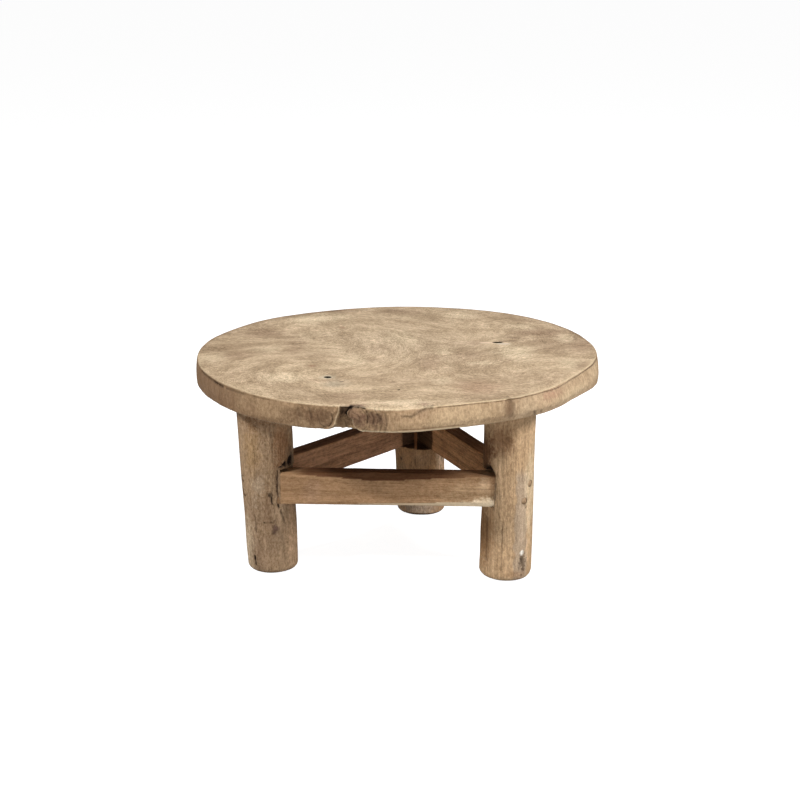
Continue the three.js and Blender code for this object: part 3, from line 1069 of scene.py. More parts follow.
@dataclass
class Slab:
    """The round top, with its bark inlet, its undercut and its marks."""

    sides: int = 1080
    half_across: float = HALF_ACROSS
    inlet_bearing: float = math.radians(-104.4)
    top_round: float = 1.2 * MM
    foot_round: float = 2.2 * MM
    lip: float = 14.0 * MM
    hole_across: float = 38.6 * MM
    hole_deep: float = 22.3 * MM
    slit_deep: float = 5 * MM
    flank_bow: float = 1.6 * MM
    ring_wide: float = 0.9 * MM
    ring_deep: float = 0.9 * MM
    inlet_flare: float = 2.2 * MM
    inlet_lip: float = 0.9 * MM
    rim_shares: tuple[float, ...] = (
        1.000, 1.008, 1.020, 1.030, 1.024, 1.006, 0.998, 0.982,
        0.980, 0.992, 0.988, 0.998, 1.000, 1.002, 1.004, 1.014,
        1.016, 1.000, 0.998, 0.970, 0.974, 0.984, 0.968, 0.976,
    )
    under_cut_deep: float = 5.5 * MM
    under_cut_high: float = 13 * MM
    under_cut_bearing: float = math.radians(-50.0)
    swell_out: float = 6 * MM
    swell_bearing: float = math.radians(-12.0)
    swell_spread: float = math.radians(8.0)
    top_lean: float = 4.5 * MM
    ring_centre: tuple[float, float] = (11 * MM, 292 * MM)
    rings: tuple[float, ...] = (13 * MM, 23.5 * MM, 27 * MM, 38 * MM, 44 * MM, 50 * MM)

    def blank(self) -> Object:
        """The round body before it is shaped."""
        full, foot, head, thick = self.half_across, self.foot_round, self.top_round, THICK
        rings = [
            Station(full * 0.5, 0.0),
            Station(full * 0.85, 0.0, 2),
            Station(full - foot * 2.2, 0.0, 5),
            Station(full - foot, 0.0),
            Station(full - foot * 0.55, foot * 0.12),
            Station(full - foot * 0.2, foot * 0.42),
            Station(full, foot),
            Station(full + HAIR, thick - head, 33),
            Station(full - head * 0.2, thick - head * 0.42),
            Station(full - head * 0.55, thick - head * 0.12),
            Station(full - head, thick),
            Station(full - head * 2.0, thick),
            Station(full - self.lip, thick, 5),
            Station(full * 0.85, thick, 3),
            Station(full * 0.5, thick, 2),
        ]
        return round_blank("slab", self.sides, rings)

    def gather(self, angle: Array) -> Array:
        """Moves evenly spaced bearings towards the inlet, so that its walls have more points."""
        fine = np.linspace(0.0, math.tau, 20000)
        near = angle_gap(fine, self.inlet_bearing + math.radians(3.0))
        density = 1.0 + 4.0 * np.exp(-((near / math.radians(10.0)) ** 2))
        total = np.concatenate(([0.0], np.cumsum((density[1:] + density[:-1]) / 2)))
        return np.interp(angle % math.tau, total / total[-1] * math.tau, fine)

    def on_flank(self, angle: Array, share: Array) -> tuple[Array, Array]:
        """Lengths along the rim from the inlet's middle, positive to the right, and places for noise."""
        across = angle_gap(angle, self.inlet_bearing) * self.half_across
        return across, np.stack((across, share * THICK, np.zeros_like(share)), axis=1)

    def rim(self, angle: Array, share: Array) -> Array:
        """The slab's radius at bearings and at shares of its thickness.

        Args:
            angle: Bearings in radians.
            share: 0 at the underside and 1 at the top.

        Returns:
            The radius in metres.
        """
        height = share * THICK
        radius = self.half_across * round_table(self.rim_shares, angle)
        lean = np.maximum(0.0, np.cos(angle - self.under_cut_bearing)) ** 8
        radius = radius - self.under_cut_deep * lean * (1.0 - smooth(0.0, self.under_cut_high, height))
        swell = bump(angle_gap(angle, self.swell_bearing), 0.0, self.swell_spread)
        radius = radius + self.swell_out * swell * np.interp(share, (0.0, 0.45, 0.92), (1.0, 0.7, 0.0))
        radius = radius - self.top_lean * window(angle, -52.0, -17.0, 14.0) * smooth(0.3, 1.0, share)
        radius = radius - self.flank_bow * (2.0 * share - 0.9) ** 2
        flat = np.stack((np.cos(angle), np.sin(angle), share * 0.1), axis=1) * self.half_across
        waves = layered(flat / (22.0 * MM), 5, 2) * 0.9
        ridges = np.abs(layered(flat / (5.0 * MM), 11, 2)) * 0.8 + layered(flat / (2.0 * MM), 17, 2) * 0.4
        rough = 0.3 + 1.0 * window(angle, -122.0, -90.0, 16.0)
        radius = radius - MM * (rough * (0.45 + ridges) + waves)
        depth, _ = self.furrows(angle, share)
        return radius - depth - self.inlet(angle, share)

    def furrows(self, angle: Array, share: Array) -> tuple[Array, Array]:
        """The cracks, creases and growth rings of the flank.

        Args:
            angle: Bearings in radians.
            share: 0 at the underside and 1 at the top.

        Returns:
            How far each point stands in, and how dark it is, as painted shade in the furrows.
        """
        height = SLAB_UNDER + share * THICK
        depth, dark = np.zeros_like(angle), np.zeros_like(angle)
        for crack in FLANK_CRACKS:
            hump = crack.hump(angle, height, self.half_across)
            depth += crack.deep * MM * hump
            dark = np.maximum(dark, crack.dark * hump)
        across, _ = self.on_flank(angle, share)
        spread = np.hypot(across - self.ring_centre[0], (height - self.ring_centre[1]) * 1.1)
        place = np.stack((across, height, np.zeros_like(height)), axis=1)
        spread = spread + 1.6 * MM * layered(place / (9 * MM), 71, 2)
        mask = smooth(6 * MM, 16 * MM, across) * (0.6 + 0.4 * layered(place / (6 * MM), 73, 2))
        for ring in self.rings:
            hump = bump(spread, ring, self.ring_wide) * mask
            depth += self.ring_deep * hump
            dark = np.maximum(dark, 0.55 * hump)
        return depth, dark

    def inlet(self, angle: Array, share: Array) -> Array:
        """How deep the bark inlet cuts the rim."""
        off, deep = self.inlet_off(angle, share)
        _, place = self.on_flank(angle, share)
        inner = (1.0 - smooth(0.62, 1.08, off)) * (1.0 + 0.14 * layered(place / (4.0 * MM), 31, 3))
        return deep * inner + bump(off, 1.3, 0.4) * self.inlet_flare - bump(off, 1.12, 0.1) * self.inlet_lip

    def inlet_off(self, angle: Array, share: Array) -> tuple[Array, Array]:
        """Places across the inlet.

        Args:
            angle: Bearings in radians.
            share: 0 at the underside and 1 at the top.

        Returns:
            The distance from the inlet's middle in its own half widths, and the inlet's depth.
        """
        heights = (0.0, 0.06, 0.14, 0.26, 0.38, 0.5, 0.58, 0.66, 0.78, 0.86, 0.94, 1.0)
        lefts = (-22.0, -19.0, -14.0, -9.5, -8.6, -7.6, -7.0, -6.2, -5.2, -4.6, -4.4, -4.0)
        rights = (24.0, 21.5, 18.0, 15.0, 13.6, 12.2, 9.4, 7.0, 6.4, 8.6, 13.0, 16.0)
        depths = (15.0, 15.0, 15.0, 16.0, 17.0, 19.0, 21.0, 21.0, 18.0, 13.0, 6.0, 0.5)
        left, right, deep = (np.interp(share, heights, row) * MM for row in (lefts, rights, depths))
        centre, half = (left + right) / 2, (right - left) / 2 * 1.06
        across, place = self.on_flank(angle, share)
        half = half * (1.0 + 0.1 * layered(place / (6.0 * MM), 23, 2))
        return np.abs(across - centre) / half, deep

    def build(self, groups: Groups) -> Object:
        """Makes the slab.

        Args:
            groups: The shared shader groups.

        Returns:
            The dressed slab.
        """
        obj = self.blank()
        angle, reach, height = polar(points_of(obj))
        angle = self.gather(angle)
        share = np.clip(height / THICK, 0.0, 1.0)
        radius = reach / self.half_across * self.rim(angle, share)
        edge = np.maximum(self.half_across - reach, 0.0)
        worn_lip = 1.5 * window(angle, -97.0, -82.0, 7.0) + 1.0 * window(angle, -60.0, -14.0, 14.0) + 0.3
        height = height + SLAB_UNDER
        height -= np.where(share > 0.9, worn_lip * MM * (1.0 - smooth(0.0, self.lip * 0.9, edge)), 0.0)
        shaped = np.stack((radius * np.cos(angle), radius * np.sin(angle), height), axis=1)
        shaped[:, 0] = np.clip(shaped[:, 0], SLAB_LOW[0], SLAB_HIGH[0])
        shaped[:, 1] = np.clip(shaped[:, 1], SLAB_LOW[1], SLAB_HIGH[1])
        put_points(obj, shaped)
        self.shade(obj, angle, share, edge)
        cut_away(obj, self.cutters())
        finish_surface(obj, 42.0)
        dress(obj, SLAB_FINISH.build(groups), "slab_wood", "tabletop")
        return obj

    def shade(self, obj: Object, angle: Array, share: Array, edge: Array) -> None:
        """Stores the slab's masks for its finish, with painted shade in its inlet and furrows and painted
        highlights on its edges.

        Args:
            obj: The slab.
            angle: Its vertices' bearings.
            share: Their shares of the thickness.
            edge: Their distances from the blank's flank.
        """
        near = 1.0 - smooth(0.004, 0.010, edge)
        store(obj, "flank", 1.0 - smooth(self.top_round * 0.2, self.top_round * 1.3, edge))
        off, _ = self.inlet_off(angle, share)
        across, place = self.on_flank(angle, share)
        broken = layered(place / (3.0 * MM), 97, 3)
        inside = 1.0 - smooth(0.7, 0.98, off)
        _, dark = self.furrows(angle, share)
        # Painted shade: the deep pit of the bark inlet, the dark wedge beside it and its dark mouth under
        # the top edge
        lobe = smooth(-2.0 * MM, 5.0 * MM, across + 1.5 * MM * broken)
        pit = (0.45 + 0.3 * lobe) * smooth(0.46, 0.62, share + 0.1 * broken)
        pit = pit * (1.0 - smooth(0.93, 1.0, share))
        pit = pit * (1.0 + 0.5 * broken)
        pit = inside * (pit + 0.4 * smooth(0.1, 0.6, broken) * (1.0 - smooth(0.46, 0.62, share)))
        height = SLAB_UNDER + share * THICK
        wedge = 1.6 * INLET_WEDGE.hump(angle, height, self.half_across) * (1.0 + 0.4 * broken)
        wedge = wedge * (1.0 - smooth(1.0 * MM, 2.6 * MM, edge)) * (1.0 - smooth(0.86, 1.06, off))
        pit = np.maximum(pit, wedge)
        mouth = bump(across, 10.5 * MM, 3.6 * MM) * smooth(0.84, 0.96, share)
        mouth = mouth * (1.0 - smooth(0.6 * MM, 2.4 * MM, edge))
        pit = np.maximum(pit, 1.2 * mouth * (1.0 + 0.3 * broken))
        # The inlet's painted shade, over the painted shade in the furrows' cracks and growth rings
        store(obj, "hollow", np.clip(np.maximum(dark * (0.85 + 0.5 * broken), pit), 0, 0.98) * near)
        # Paler edges: a pale rim round the inlet, painted highlights on the front's bottom edge, on the
        # rounded top edge by the inlet and on the right lip, and wear with a painted highlight along the
        # arris
        lip = bump(off, 1.07, 0.055) * np.where(across < 0, 0.8, 0.6) * (0.75 + 0.4 * broken)
        foot = bump(share, 0.05, 0.035) * window(angle, -101.0, -72.0, 4.0)
        arris = bump(share, 1.0, 0.03) * (0.6 + 0.5 * broken) * window(angle, -172.0, -4.0, 14.0)
        arris = arris * (0.55 + 0.45 * window(angle, -122.0, -8.0, 12.0))
        arris = arris * (1.0 - smooth(1.2 * MM, 3.0 * MM, edge)) * (1.0 - bump(across, 9.0 * MM, 6.0 * MM))
        soft = smooth(0.9, 1.0, share) * window(angle, -97.0, -88.0, 5.0) * (0.4 + 0.4 * broken)
        right_lip = bump(edge, 3.0 * MM, 2.6 * MM) * (share > 0.97) * window(angle, -58.0, -8.0, 8.0) * 0.2
        store(obj, "wear_and_highlight", np.clip(lip + foot + arris + soft + right_lip, 0, 1) * near)
        # Darker marks: a thin dark line under the arris, a dark line low on the front flank, bark at the
        # inlet's foot and a darker band round the back edge
        wobble = layered(np.stack((angle * 30, angle * 0, angle * 0), axis=1), 91, 3)
        line = bump(share, 0.935 + 0.015 * wobble, 0.025) * np.clip(0.3 + 0.7 * wobble, 0, 0.7)
        line = line * (1.0 - window(angle, -99.0, -81.0, 4.0))
        foot_line = bump(share, 0.13, 0.035) * window(angle, -90.0, -72.0, 3.0) * 0.7
        bark = inside * (1 - smooth(0.42, 0.6, share)) * 0.15
        back = bump(edge, 1.5 * MM, 4.0 * MM) * window(angle, 12.0, 172.0, 20.0) * 0.5
        store(obj, "stain_and_shade", np.clip(line + foot_line + bark + back, 0, 1) * near)

    def cutters(self) -> list[Object]:
        """The holes for the legs' tenons, and the slits in the top."""
        cutters = []
        for side in Side:
            mouth = leg_middle(side, SLAB_UNDER)
            low, high = mouth - Vector((0, 0, 5 * MM)), mouth + Vector((0, 0, self.hole_deep))
            cutters.append(rod_at("cutter_hole", self.hole_across, low, high, 64))
        for centre, long, wide, turn in TOP_SLITS:
            clear_selection()
            bpy.ops.mesh.primitive_uv_sphere_add(segments=24, ring_count=12, radius=1.0)
            slit = named("cutter_slit")
            place = Matrix.Translation((*centre, SLAB_TOP)) @ Matrix.Rotation(turn, 4, "Z")
            slit.data.transform(place @ Matrix.Diagonal((long / 2, wide / 2, self.slit_deep, 1)))
            cutters.append(slit)
        return cutters


TOP_SLITS = (
    ((-99.1 * MM, -141.2 * MM), 12 * MM, 11.0 * MM, math.radians(-28.0)),
    ((152.5 * MM, 57.5 * MM), 17 * MM, 9.0 * MM, math.radians(-4.0)),
    ((2.2 * MM, -206.5 * MM), 5 * MM, 5.0 * MM, math.radians(-30.0)),
)

INLET_WEDGE = Crack(((-104.1, 296.5), (-103, 304), (-102, 310.5)), 2.8, 0)
FLANK_CRACKS = (
    Crack(((-102.6, 309.5), (-100.1, 309.3), (-98.4, 308.8)), 1.1, 2.6, 1.0),
    Crack(((-88.5, 298), (-86.2, 297.2), (-84.6, 301), (-83.6, 306), (-82.5, 309)), 1.9, 1.3, 0.42),
    Crack(((-84.4, 303), (-82.6, 307.5), (-80.9, 308.5)), 2.6, 0.9, 0.5),
    Crack(((-58.5, 310), (-57.5, 302), (-57.2, 290), (-57.5, 279)), 4.4, 1.2, 0.26),
    Crack(((-58.2, 309.5), (-57.7, 305)), 3, 1.2, 0.45),
    Crack(((-49.8, 284), (-48.6, 277)), 1.6, 1, 0.7),
    Crack(((-47.2, 283), (-46.4, 278)), 1.2, 0.8, 0.6),
    Crack(((-161, 307.5), (-156, 306.2), (-150, 306.2)), 1.3, 1.2, 0.7),
    Crack(((-150, 306.2), (-147.5, 305.6), (-144.6, 305.2)), 1.8, 1.4, 0.9),
    Crack(((-142.5, 305.4), (-138, 305.8), (-134.5, 306.4)), 1.2, 0.8, 0.5),
    Crack(((-130.5, 307.2), (-127, 306.6), (-125, 307)), 0.8, 0.6, 0.4),
    Crack(((-79.5, 308.2), (-74, 307.8), (-68, 308.2), (-60, 308)), 0.6, 0.6, 0.4),
    Crack(((-59.5, 307.5), (-53, 308.2), (-46, 307)), 1, 1, 0.5),
    Crack(((-46, 307), (-38, 305.5), (-28, 306.8), (-15, 307), (-4, 306.5)), 1.1, 0.8, 0.72),
    Crack(((-98, 305), (-97.6, 296), (-97.8, 289)), 1.5, 1.2, 0.55),
    Crack(((-96.8, 303), (-96, 297), (-96.2, 288)), 1.5, 1, 0.5),
    Crack(((-95.2, 301), (-94.4, 295), (-94.7, 290)), 2.4, 1.2, 0.6),
    Crack(((-111, 296), (-110.4, 284), (-108.9, 277.5)), 1, 1, 0.5),
    Crack(((-107.2, 299), (-107, 288), (-108.2, 280)), 1, 1, 0.5),
    Crack(((-113.2, 303), (-112.6, 291)), 2, 0.8, 0.4),
    Crack(((-116.5, 301), (-115.6, 288)), 2.4, 0.7, 0.35),
)

CREAM = (212, 191, 160)
TAUPE = (138, 113, 91)
SMOKE = (136, 124, 106)
RUST = (126, 82, 60)


def slit_shade_mark(place: tuple[float, float], long: float, wide: float) -> Mark:
    """Painted shade inside a slit, which starts just under the top."""
    centre = (place[0] / MM, place[1] / MM, TOP_Z - 3.12)
    return Mark(centre, (long / MM, wide / MM, 3.1), (12, 8, 5), 1.0, 0.04, 0.0)


def patch(x: float, y: float, across: float, deep: float, colour: Colour, strength: float) -> Mark:
    """A soft patch on the slab's top, its middle and half sizes in millimetres."""
    return Mark((x, y, TOP_Z), (across, deep, 20), colour, strength, 0.9)


SLAB_MARKS = (
    patch(0, 40, 190, 150, (190, 168, 140), 0.6),
    patch(-20, -250, 200, 50, (160, 137, 110), 0.5),
    patch(-262, 20, 70, 130, (152, 129, 103), 0.6),
    patch(255, 60, 70, 150, (160, 136, 111), 0.5),
    patch(-144, 198, 44, 50, CREAM, 0.7),
    patch(-274, -33, 32, 50, CREAM, 0.45),
    patch(-161, -146, 50, 38, CREAM, 0.7),
    patch(-66, -52, 32, 44, CREAM, 0.55),
    patch(-104, 222, 44, 44, CREAM, 0.45),
    patch(-196, 11, 36, 26, CREAM, 0.45),
    patch(198, 154, 36, 34, CREAM, 0.45),
    patch(-136, 103, 44, 36, CREAM, 0.3),
    patch(8, 87, 36, 74, CREAM, 0.5),
    patch(6, -272, 62, 24, CREAM, 0.55),
    patch(-160, 140, 60, 60, (196, 172, 142), 0.5),
    patch(71, -7, 24, 36, CREAM, 0.5),
    patch(100, 232, 42, 36, CREAM, 0.7),
    patch(176, -4, 46, 62, CREAM, 0.9),
    patch(261, 84, 26, 44, CREAM, 0.6),
    patch(252, -70, 26, 44, CREAM, 0.65),
    patch(125, -64, 36, 18, CREAM, 0.6),
    patch(60, -162, 24, 32, CREAM, 0.4),
    patch(-93, 270, 46, 36, TAUPE, 0.6),
    patch(0, 263, 66, 34, TAUPE, 0.5),
    patch(-236, -22, 44, 30, TAUPE, 0.5),
    patch(-155, 26, 26, 60, TAUPE, 0.45),
    patch(-36, -47, 22, 24, TAUPE, 0.4),
    patch(121, 53, 26, 26, TAUPE, 0.45),
    patch(67, -30, 26, 24, TAUPE, 0.35),
    patch(-109, -160, 44, 18, TAUPE, 0.4),
    patch(268, -86, 22, 34, TAUPE, 0.45),
    patch(36, -277, 12, 10, (128, 100, 84), 0.6),
    patch(-206, 112, 46, 50, TAUPE, 0.5),
    patch(47, -67, 28, 68, TAUPE, 0.5),
    patch(100, -20, 40, 52, TAUPE, 0.4),
    patch(-30, 20, 28, 44, TAUPE, 0.35),
    patch(222, 116, 62, 34, TAUPE, 0.65),
    patch(280, 40, 26, 74, TAUPE, 0.5),
    patch(111, -196, 52, 56, (158, 128, 104), 0.6),
    patch(-87, -176, 30, 30, SMOKE, 0.65),
    patch(-70, -240, 50, 22, TAUPE, 0.45),
)

SLAB_SPOTS = (
    Mark((-99, -141, TOP_Z), (15, 15, 20), (192, 182, 160), 0.55, 0.7),
    Mark((134, 55, TOP_Z), (14, 6, 20), (220, 196, 168), 0.85, 0.6, 0.2),
    Mark((160, 48, TOP_Z), (14, 7, 20), (206, 190, 172), 0.7, 0.6, 0.2),
    Mark((170, 65, TOP_Z), (24, 6, 20), (112, 90, 72), 0.6, 0.6, 0.3, -0.1),
    Mark((178, 86, TOP_Z), (22, 10, 20), (120, 98, 78), 0.5, 0.7, 0.4, 0.3),
    Mark((-54, -284, TOP_Z), (19, 10, 20), (130, 101, 82), 0.75, 0.7, 0.4),
    Mark((-79, -165, TOP_Z), (5, 4, 20), (108, 90, 74), 0.7, 0.6),
    Mark((-6, -166, TOP_Z), (5, 4, 20), (120, 98, 76), 0.7, 0.6),
    Mark((-124, -81, TOP_Z), (12, 8, 20), RUST, 0.45, 0.8, 0.4, 0.2),
    Mark((-87, 151, TOP_Z), (6, 9, 20), RUST, 0.5, 0.7, 0.4),
    Mark((273, 84, TOP_Z), (4, 22, 20), (110, 90, 72), 0.45, 0.8, 0.4),
    Mark((-78, -270, TOP_Z), (24, 15, 20), (142, 116, 92), 0.6, 0.8, 0.4),
    # Painted shade inside the slits
    *(slit_shade_mark(place, long, wide) for place, long, wide, _ in TOP_SLITS),
)

FLANK_MARKS = (
    Mark((-270, -110, 292), (120, 200, 70), (131, 104, 80), 0.9, 0.7),
    Mark((-225, -190, 280), (90, 100, 20), (122, 94, 70), 0.6, 0.9),
    Mark((-112, -275, 294), (56, 60, 26), (96, 71, 52), 0.75, 0.8, 0.5),
    Mark((-97, -285, 282), (18, 30, 10), (150, 122, 95), 0.5, 0.9, 0.5),
    Mark((-178, -240, 277), (56, 60, 7), (98, 74, 54), 0.5, 0.8, 0.4),
    Mark((-60, -292, 300), (22, 40, 18), (116, 88, 70), 0.7, 0.8, 0.5),
    Mark((30, -294, 303), (21, 40, 13), (134, 106, 84), 0.75, 0.8, 0.2),
    Mark((-52, -292, 288), (14, 40, 10), (108, 82, 66), 0.6, 0.8, 0.5),
    Mark((284, -66, 296), (26, 70, 26), (208, 184, 152), 0.7, 0.9),
    Mark((-32, -297, 295), (20, 30, 14), (98, 72, 58), 0.6, 0.8, 0.8),
    Mark((88, -284, 292), (80, 60, 40), (184, 157, 124), 0.9, 0.7),
    Mark((15, -296, 292), (40, 50, 30), (172, 144, 112), 0.6, 0.9),
    Mark((235, -180, 292), (140, 190, 60), (180, 154, 124), 0.95, 0.6, 0.2),
    Mark((154, -255, 296), (10, 30, 26), (100, 74, 54), 0.7),
    Mark((180, -240, 296), (22, 30, 26), (186, 162, 132), 0.5, 0.9),
    Mark((254, -155, 286), (70, 90, 14), (190, 166, 134), 0.8, 0.9, 0.2),
    Mark((222, -205, 300), (34, 50, 13), (150, 108, 88), 0.55, 0.9, 0.6),
)

# The flank's pale tone paints wear and highlights on the edges, its deep tone the darker lines, and its
# crack tone the painted shade in the inlet and furrows
SLAB_FINISH = SlabWood(
    "slab_wood",
    top=Tones(pale=(212, 191, 158), middle=(184, 161, 132), deep=(126, 101, 78), grey=(170, 147, 120)),
    flank=Tones((212, 191, 158), (156, 129, 99), (98, 72, 50), (143, 116, 89), (26, 16, 10)),
    marks=SLAB_MARKS,
    spots=SLAB_SPOTS,
    flank_marks=FLANK_MARKS,
)


@dataclass
class Leg:
    """One log leg with its tenon, its slots for the rails and its peg holes."""

    side: Side
    tones: Tones
    marks: tuple[Mark, ...] = ()
    seed: int = 1
    mottle: float = 0.4
    streak: float = 0.17
    sides: int = 224
    rows: int = 168
    foot_round: float = 9 * MM
    foot_wide: float = 12 * MM
    tenon_across: float = 38 * MM
    tenon_high: float = 22 * MM
    fibre_deep: float = 0.55 * MM
    lump_deep: float = 0.9 * MM
    slot_inner: float = 14 * MM
    slot_top: float = 5 * MM
    slot_rough: float = 0.9 * MM
    # How dark the painted shade inside the slots gets
    slot_dark: float = 0.97
    bark_span: tuple[float, ...] = ()
    bark_high: float = 178 * MM
    bark_colour: Colour = (182, 161, 138)

    def radius(self, height: Array) -> Array:
        """The leg's radius at heights, before its girth varies round it."""
        place = LEG_PLACES[self.side]
        share = np.clip(height / SLAB_UNDER, 0.0, 1.0)
        swell = np.interp(share, np.linspace(0, 1, len(place.swell_shares)), place.swell_shares)
        return (place.foot_across + (place.top_across - place.foot_across) * share) * swell / 2

    def blank(self) -> Object:
        """The round body before it is shaped, of unit girth."""
        full, soft, wide = BLANK_RADIUS, self.foot_round, self.foot_wide
        shoulder = SLAB_UNDER - FIT
        rings = [
            Station(full - wide, 0.0),
            Station(full - wide * 0.62, soft * 0.09),
            Station(full - wide * 0.32, soft * 0.28),
            Station(full - wide * 0.1, soft * 0.6),
            Station(full, soft),
            Station(full + HAIR, shoulder - MM, self.rows),
            Station(full - 0.7 * MM, shoulder),
            Station(self.tenon_across / 2, shoulder),
            Station(self.tenon_across / 2 + HAIR, shoulder + self.tenon_high),
        ]
        return round_blank(self.side.value.replace("leg", "log_leg"), self.sides, rings)

    def relief(self, angle: Array, height: Array) -> Array:
        """How far the surface stands in from a smooth log, in metres."""
        ring = np.stack((np.cos(angle) * LOG_RADIUS, np.sin(angle) * LOG_RADIUS, height), axis=1) / MM
        lumps = layered(ring / np.array((26, 26, 70)), self.seed, 2)
        fibres = layered(ring / np.array((2.4, 2.4, 38)), self.seed + 7, 3)
        ribs = np.abs(layered(ring / np.array((7, 7, 90)), self.seed + 13, 2))
        return self.lump_deep * lumps - self.fibre_deep * fibres * 0.7 + self.fibre_deep * ribs

    def features(self, angle: Array, height: Array) -> tuple[Array, Array]:
        """The leg's own cracks, knots and flats.

        Args:
            angle: Bearings in radians.
            height: Heights in metres.

        Returns:
            How far each point stands in, and how dark it is: painted shade in hollows and cracks, and the
            dark of knots.
        """
        inset, dark = np.zeros_like(angle), np.zeros_like(angle)
        for feature in LEG_FEATURES[self.side]:
            across = angle_gap(angle, math.radians(feature.bearing)) * LOG_RADIUS / MM
            rise = height / MM - feature.height
            lean = across * math.cos(feature.lean) + rise * math.sin(feature.lean)
            tall = -across * math.sin(feature.lean) + rise * math.cos(feature.lean)
            hump = np.exp(-((lean / feature.half_wide) ** 2) - (tall / feature.half_high) ** 2)
            inset += feature.deep * MM * hump
            dark += feature.dark * hump
        ring = np.stack((np.cos(angle) * LOG_RADIUS, np.sin(angle) * LOG_RADIUS, height), axis=1)
        jag = layered(ring / np.array((4.0, 4.0, 6.0)) / MM, self.seed + 29, 2)
        for crack in LEG_CRACKS[self.side]:
            hump = crack.hump(angle + math.radians(2.2) * jag, height + 1.5 * MM * jag, LOG_RADIUS)
            inset += crack.deep * MM * hump * (1.0 + 0.5 * jag)
            dark += crack.dark * hump * (1.0 + 0.4 * jag)
        return inset, dark

    def skin(self, angle: Array, height: Array) -> Array:
        """The leg's finished radius at bearings and heights."""
        girth = self.radius(height) * round_table(LEG_PLACES[self.side].girth_shares, angle)
        fade = smooth(0.0, 10 * MM, height)
        inset, _ = self.features(angle, height)
        return girth - self.relief(angle, height) * (0.3 + 0.7 * fade) - inset

    def build(self, groups: Groups) -> Object:
        """Makes the leg.

        Args:
            groups: The shared shader groups.

        Returns:
            The dressed leg.
        """
        obj = self.blank()
        angle, reach, height = polar(points_of(obj))
        body = reach > self.tenon_across / 2 + 0.01 * MM
        _, dark = self.features(angle, height)
        radius = np.where(body, reach / BLANK_RADIUS * self.skin(angle, height), reach)
        middle = leg_line(self.side, np.where(body, np.clip(height / SLAB_UNDER, 0, 1), 1.0))
        x, y = middle[:, 0] + radius * np.cos(angle), middle[:, 1] + radius * np.sin(angle)
        shaped = np.stack((x, y, height), axis=1)
        put_points(obj, shaped)
        # Painted shade along the foot's bottom edge, where it meets the floor
        foot_dark = 0.75 * (1.0 - smooth(0.8 * MM, 3.6 * MM, height))
        store(obj, "hollow", np.clip(np.maximum(dark, foot_dark), 0, 0.97))
        if self.bark_span:
            edges = 7.0 * layered(shaped / np.array((9, 9, 14)) / MM, self.seed + 3, 2)
            strip = window(angle + np.radians(edges), *self.bark_span, 5.0)
            store(obj, "bark", strip * (1.0 - smooth(self.bark_high - 20 * MM, self.bark_high, height)))
        cut_away(obj, self.cutters())
        self.darken_slots(obj)
        finish_surface(obj, 40.0)
        material = LongWood(
            f"{self.side.value}_wood", self.tones, fibre=430.0, band=95.0, stretch=0.05,
            roughness=0.82, relief=0.9, mottle=self.mottle, streak=self.streak, marks=self.marks,
            bark=self.bark_colour if self.bark_span else (),
        ).build(groups)
        dress(obj, material, "leg_wood", self.side.value)
        return obj

    def darken_slots(self, obj: Object) -> None:
        """Paints shade on the walls inside the slots by how deep they lie in the log, and in the peg holes.
        """
        points = points_of(obj)
        height = points[:, 2]
        deep = self.radius(height) - off_leg(self.side, points)[1]
        half = RailPlan.high / 2 + self.slot_top + 4 * MM
        level = np.abs(height - RailPlan.middle_high) < half
        dark = np.where(level, self.slot_dark * smooth(2.0 * MM, 9.0 * MM, deep), 0.0)
        for plan in RAIL_PLANS:
            local = in_frame(points, plan.frame()[1])
            for end in rail_ends(plan):
                if end.leg is self.side:
                    past = (local[:, 0] - end.place) * end.outward > 20 * MM
                    # A fixed painted shade in the peg holes beyond the rail's end
                    dark = np.where(past & (end.off_peg(local) < PEG_ACROSS / 2 + 2 * FIT), 0.45, dark)
        store(obj, "hollow", np.maximum(fetch(obj, "hollow"), dark))

    def cutters(self) -> list[Object]:
        """The slots for the rails and the holes for their pegs."""
        cutters = []
        for plan in RAIL_PLANS:
            _, matrix = plan.frame()
            for end in rail_ends(plan):
                if end.leg is not self.side:
                    continue
                reach = float(self.radius(np.array(plan.middle_high))) + 6 * MM
                near, far = sorted((end.place, end.place - end.outward * reach))
                low = Vector((near, -plan.inner_step - plan.thick - FIT, -plan.high / 2 - FIT))
                high = Vector((far, self.slot_inner, plan.high / 2 + self.slot_top))
                cutters.append(chisel_cutter(low, high, matrix, self.slot_rough, self.seed))
                start, stop = end.on_peg(matrix, PEG_DRILL), end.on_peg(matrix, -PEG_PAST)
                cutters.append(rod_at("cutter_peg", PEG_HOLE, start, stop))
        return cutters


@dataclass(frozen=True)
class Feature:
    """A hollow or a lump on a leg, in degrees and millimetres, and how dark it is."""

    bearing: float
    height: float
    half_wide: float
    half_high: float
    deep: float
    dark: float = 0.0
    lean: float = 0.0


LEG_FEATURES = {
    Side.LEFT: (
        Feature(-83, 125, 2, 3.4, 2.2, 0.8),
        Feature(-80, 69, 7, 6, -1.2),
        Feature(-78, 66, 3, 3.5, 0.9, 0.5),
        Feature(-102, 152, 6, 7, -1.2),
        Feature(-20, 171, 8, 7, 6.5, 2.0, 0.3),
        Feature(-41, 168, 3.4, 3.6, 4, 1.1),
        Feature(-18, 188, 4, 7, 2.5, 0.5, 0.2),
    ),
    Side.RIGHT: (
        Feature(-96.6, 215, 6, 8, 0.6, 0.12),
        Feature(-138, 161, 6, 4.5, 5, 1.7, 0.4),
        Feature(-152, 166, 9, 7, 6, 1.8, 0.3),
        Feature(-56, 44, 3, 4, -0.8),
        Feature(-60, 34, 2.2, 5, 1.1, 0.75),
        Feature(-64, 22, 1.6, 4, 0.9, 0.6),
        Feature(-56, 18, 1.8, 4, 0.9, 0.55),
    ),
    Side.BACK: (
        Feature(-143.9, 93, 2.2, 3.4, 2, 0.9),
        Feature(-24.3, 91, 2.2, 3.4, 2, 0.9),
    ),
}

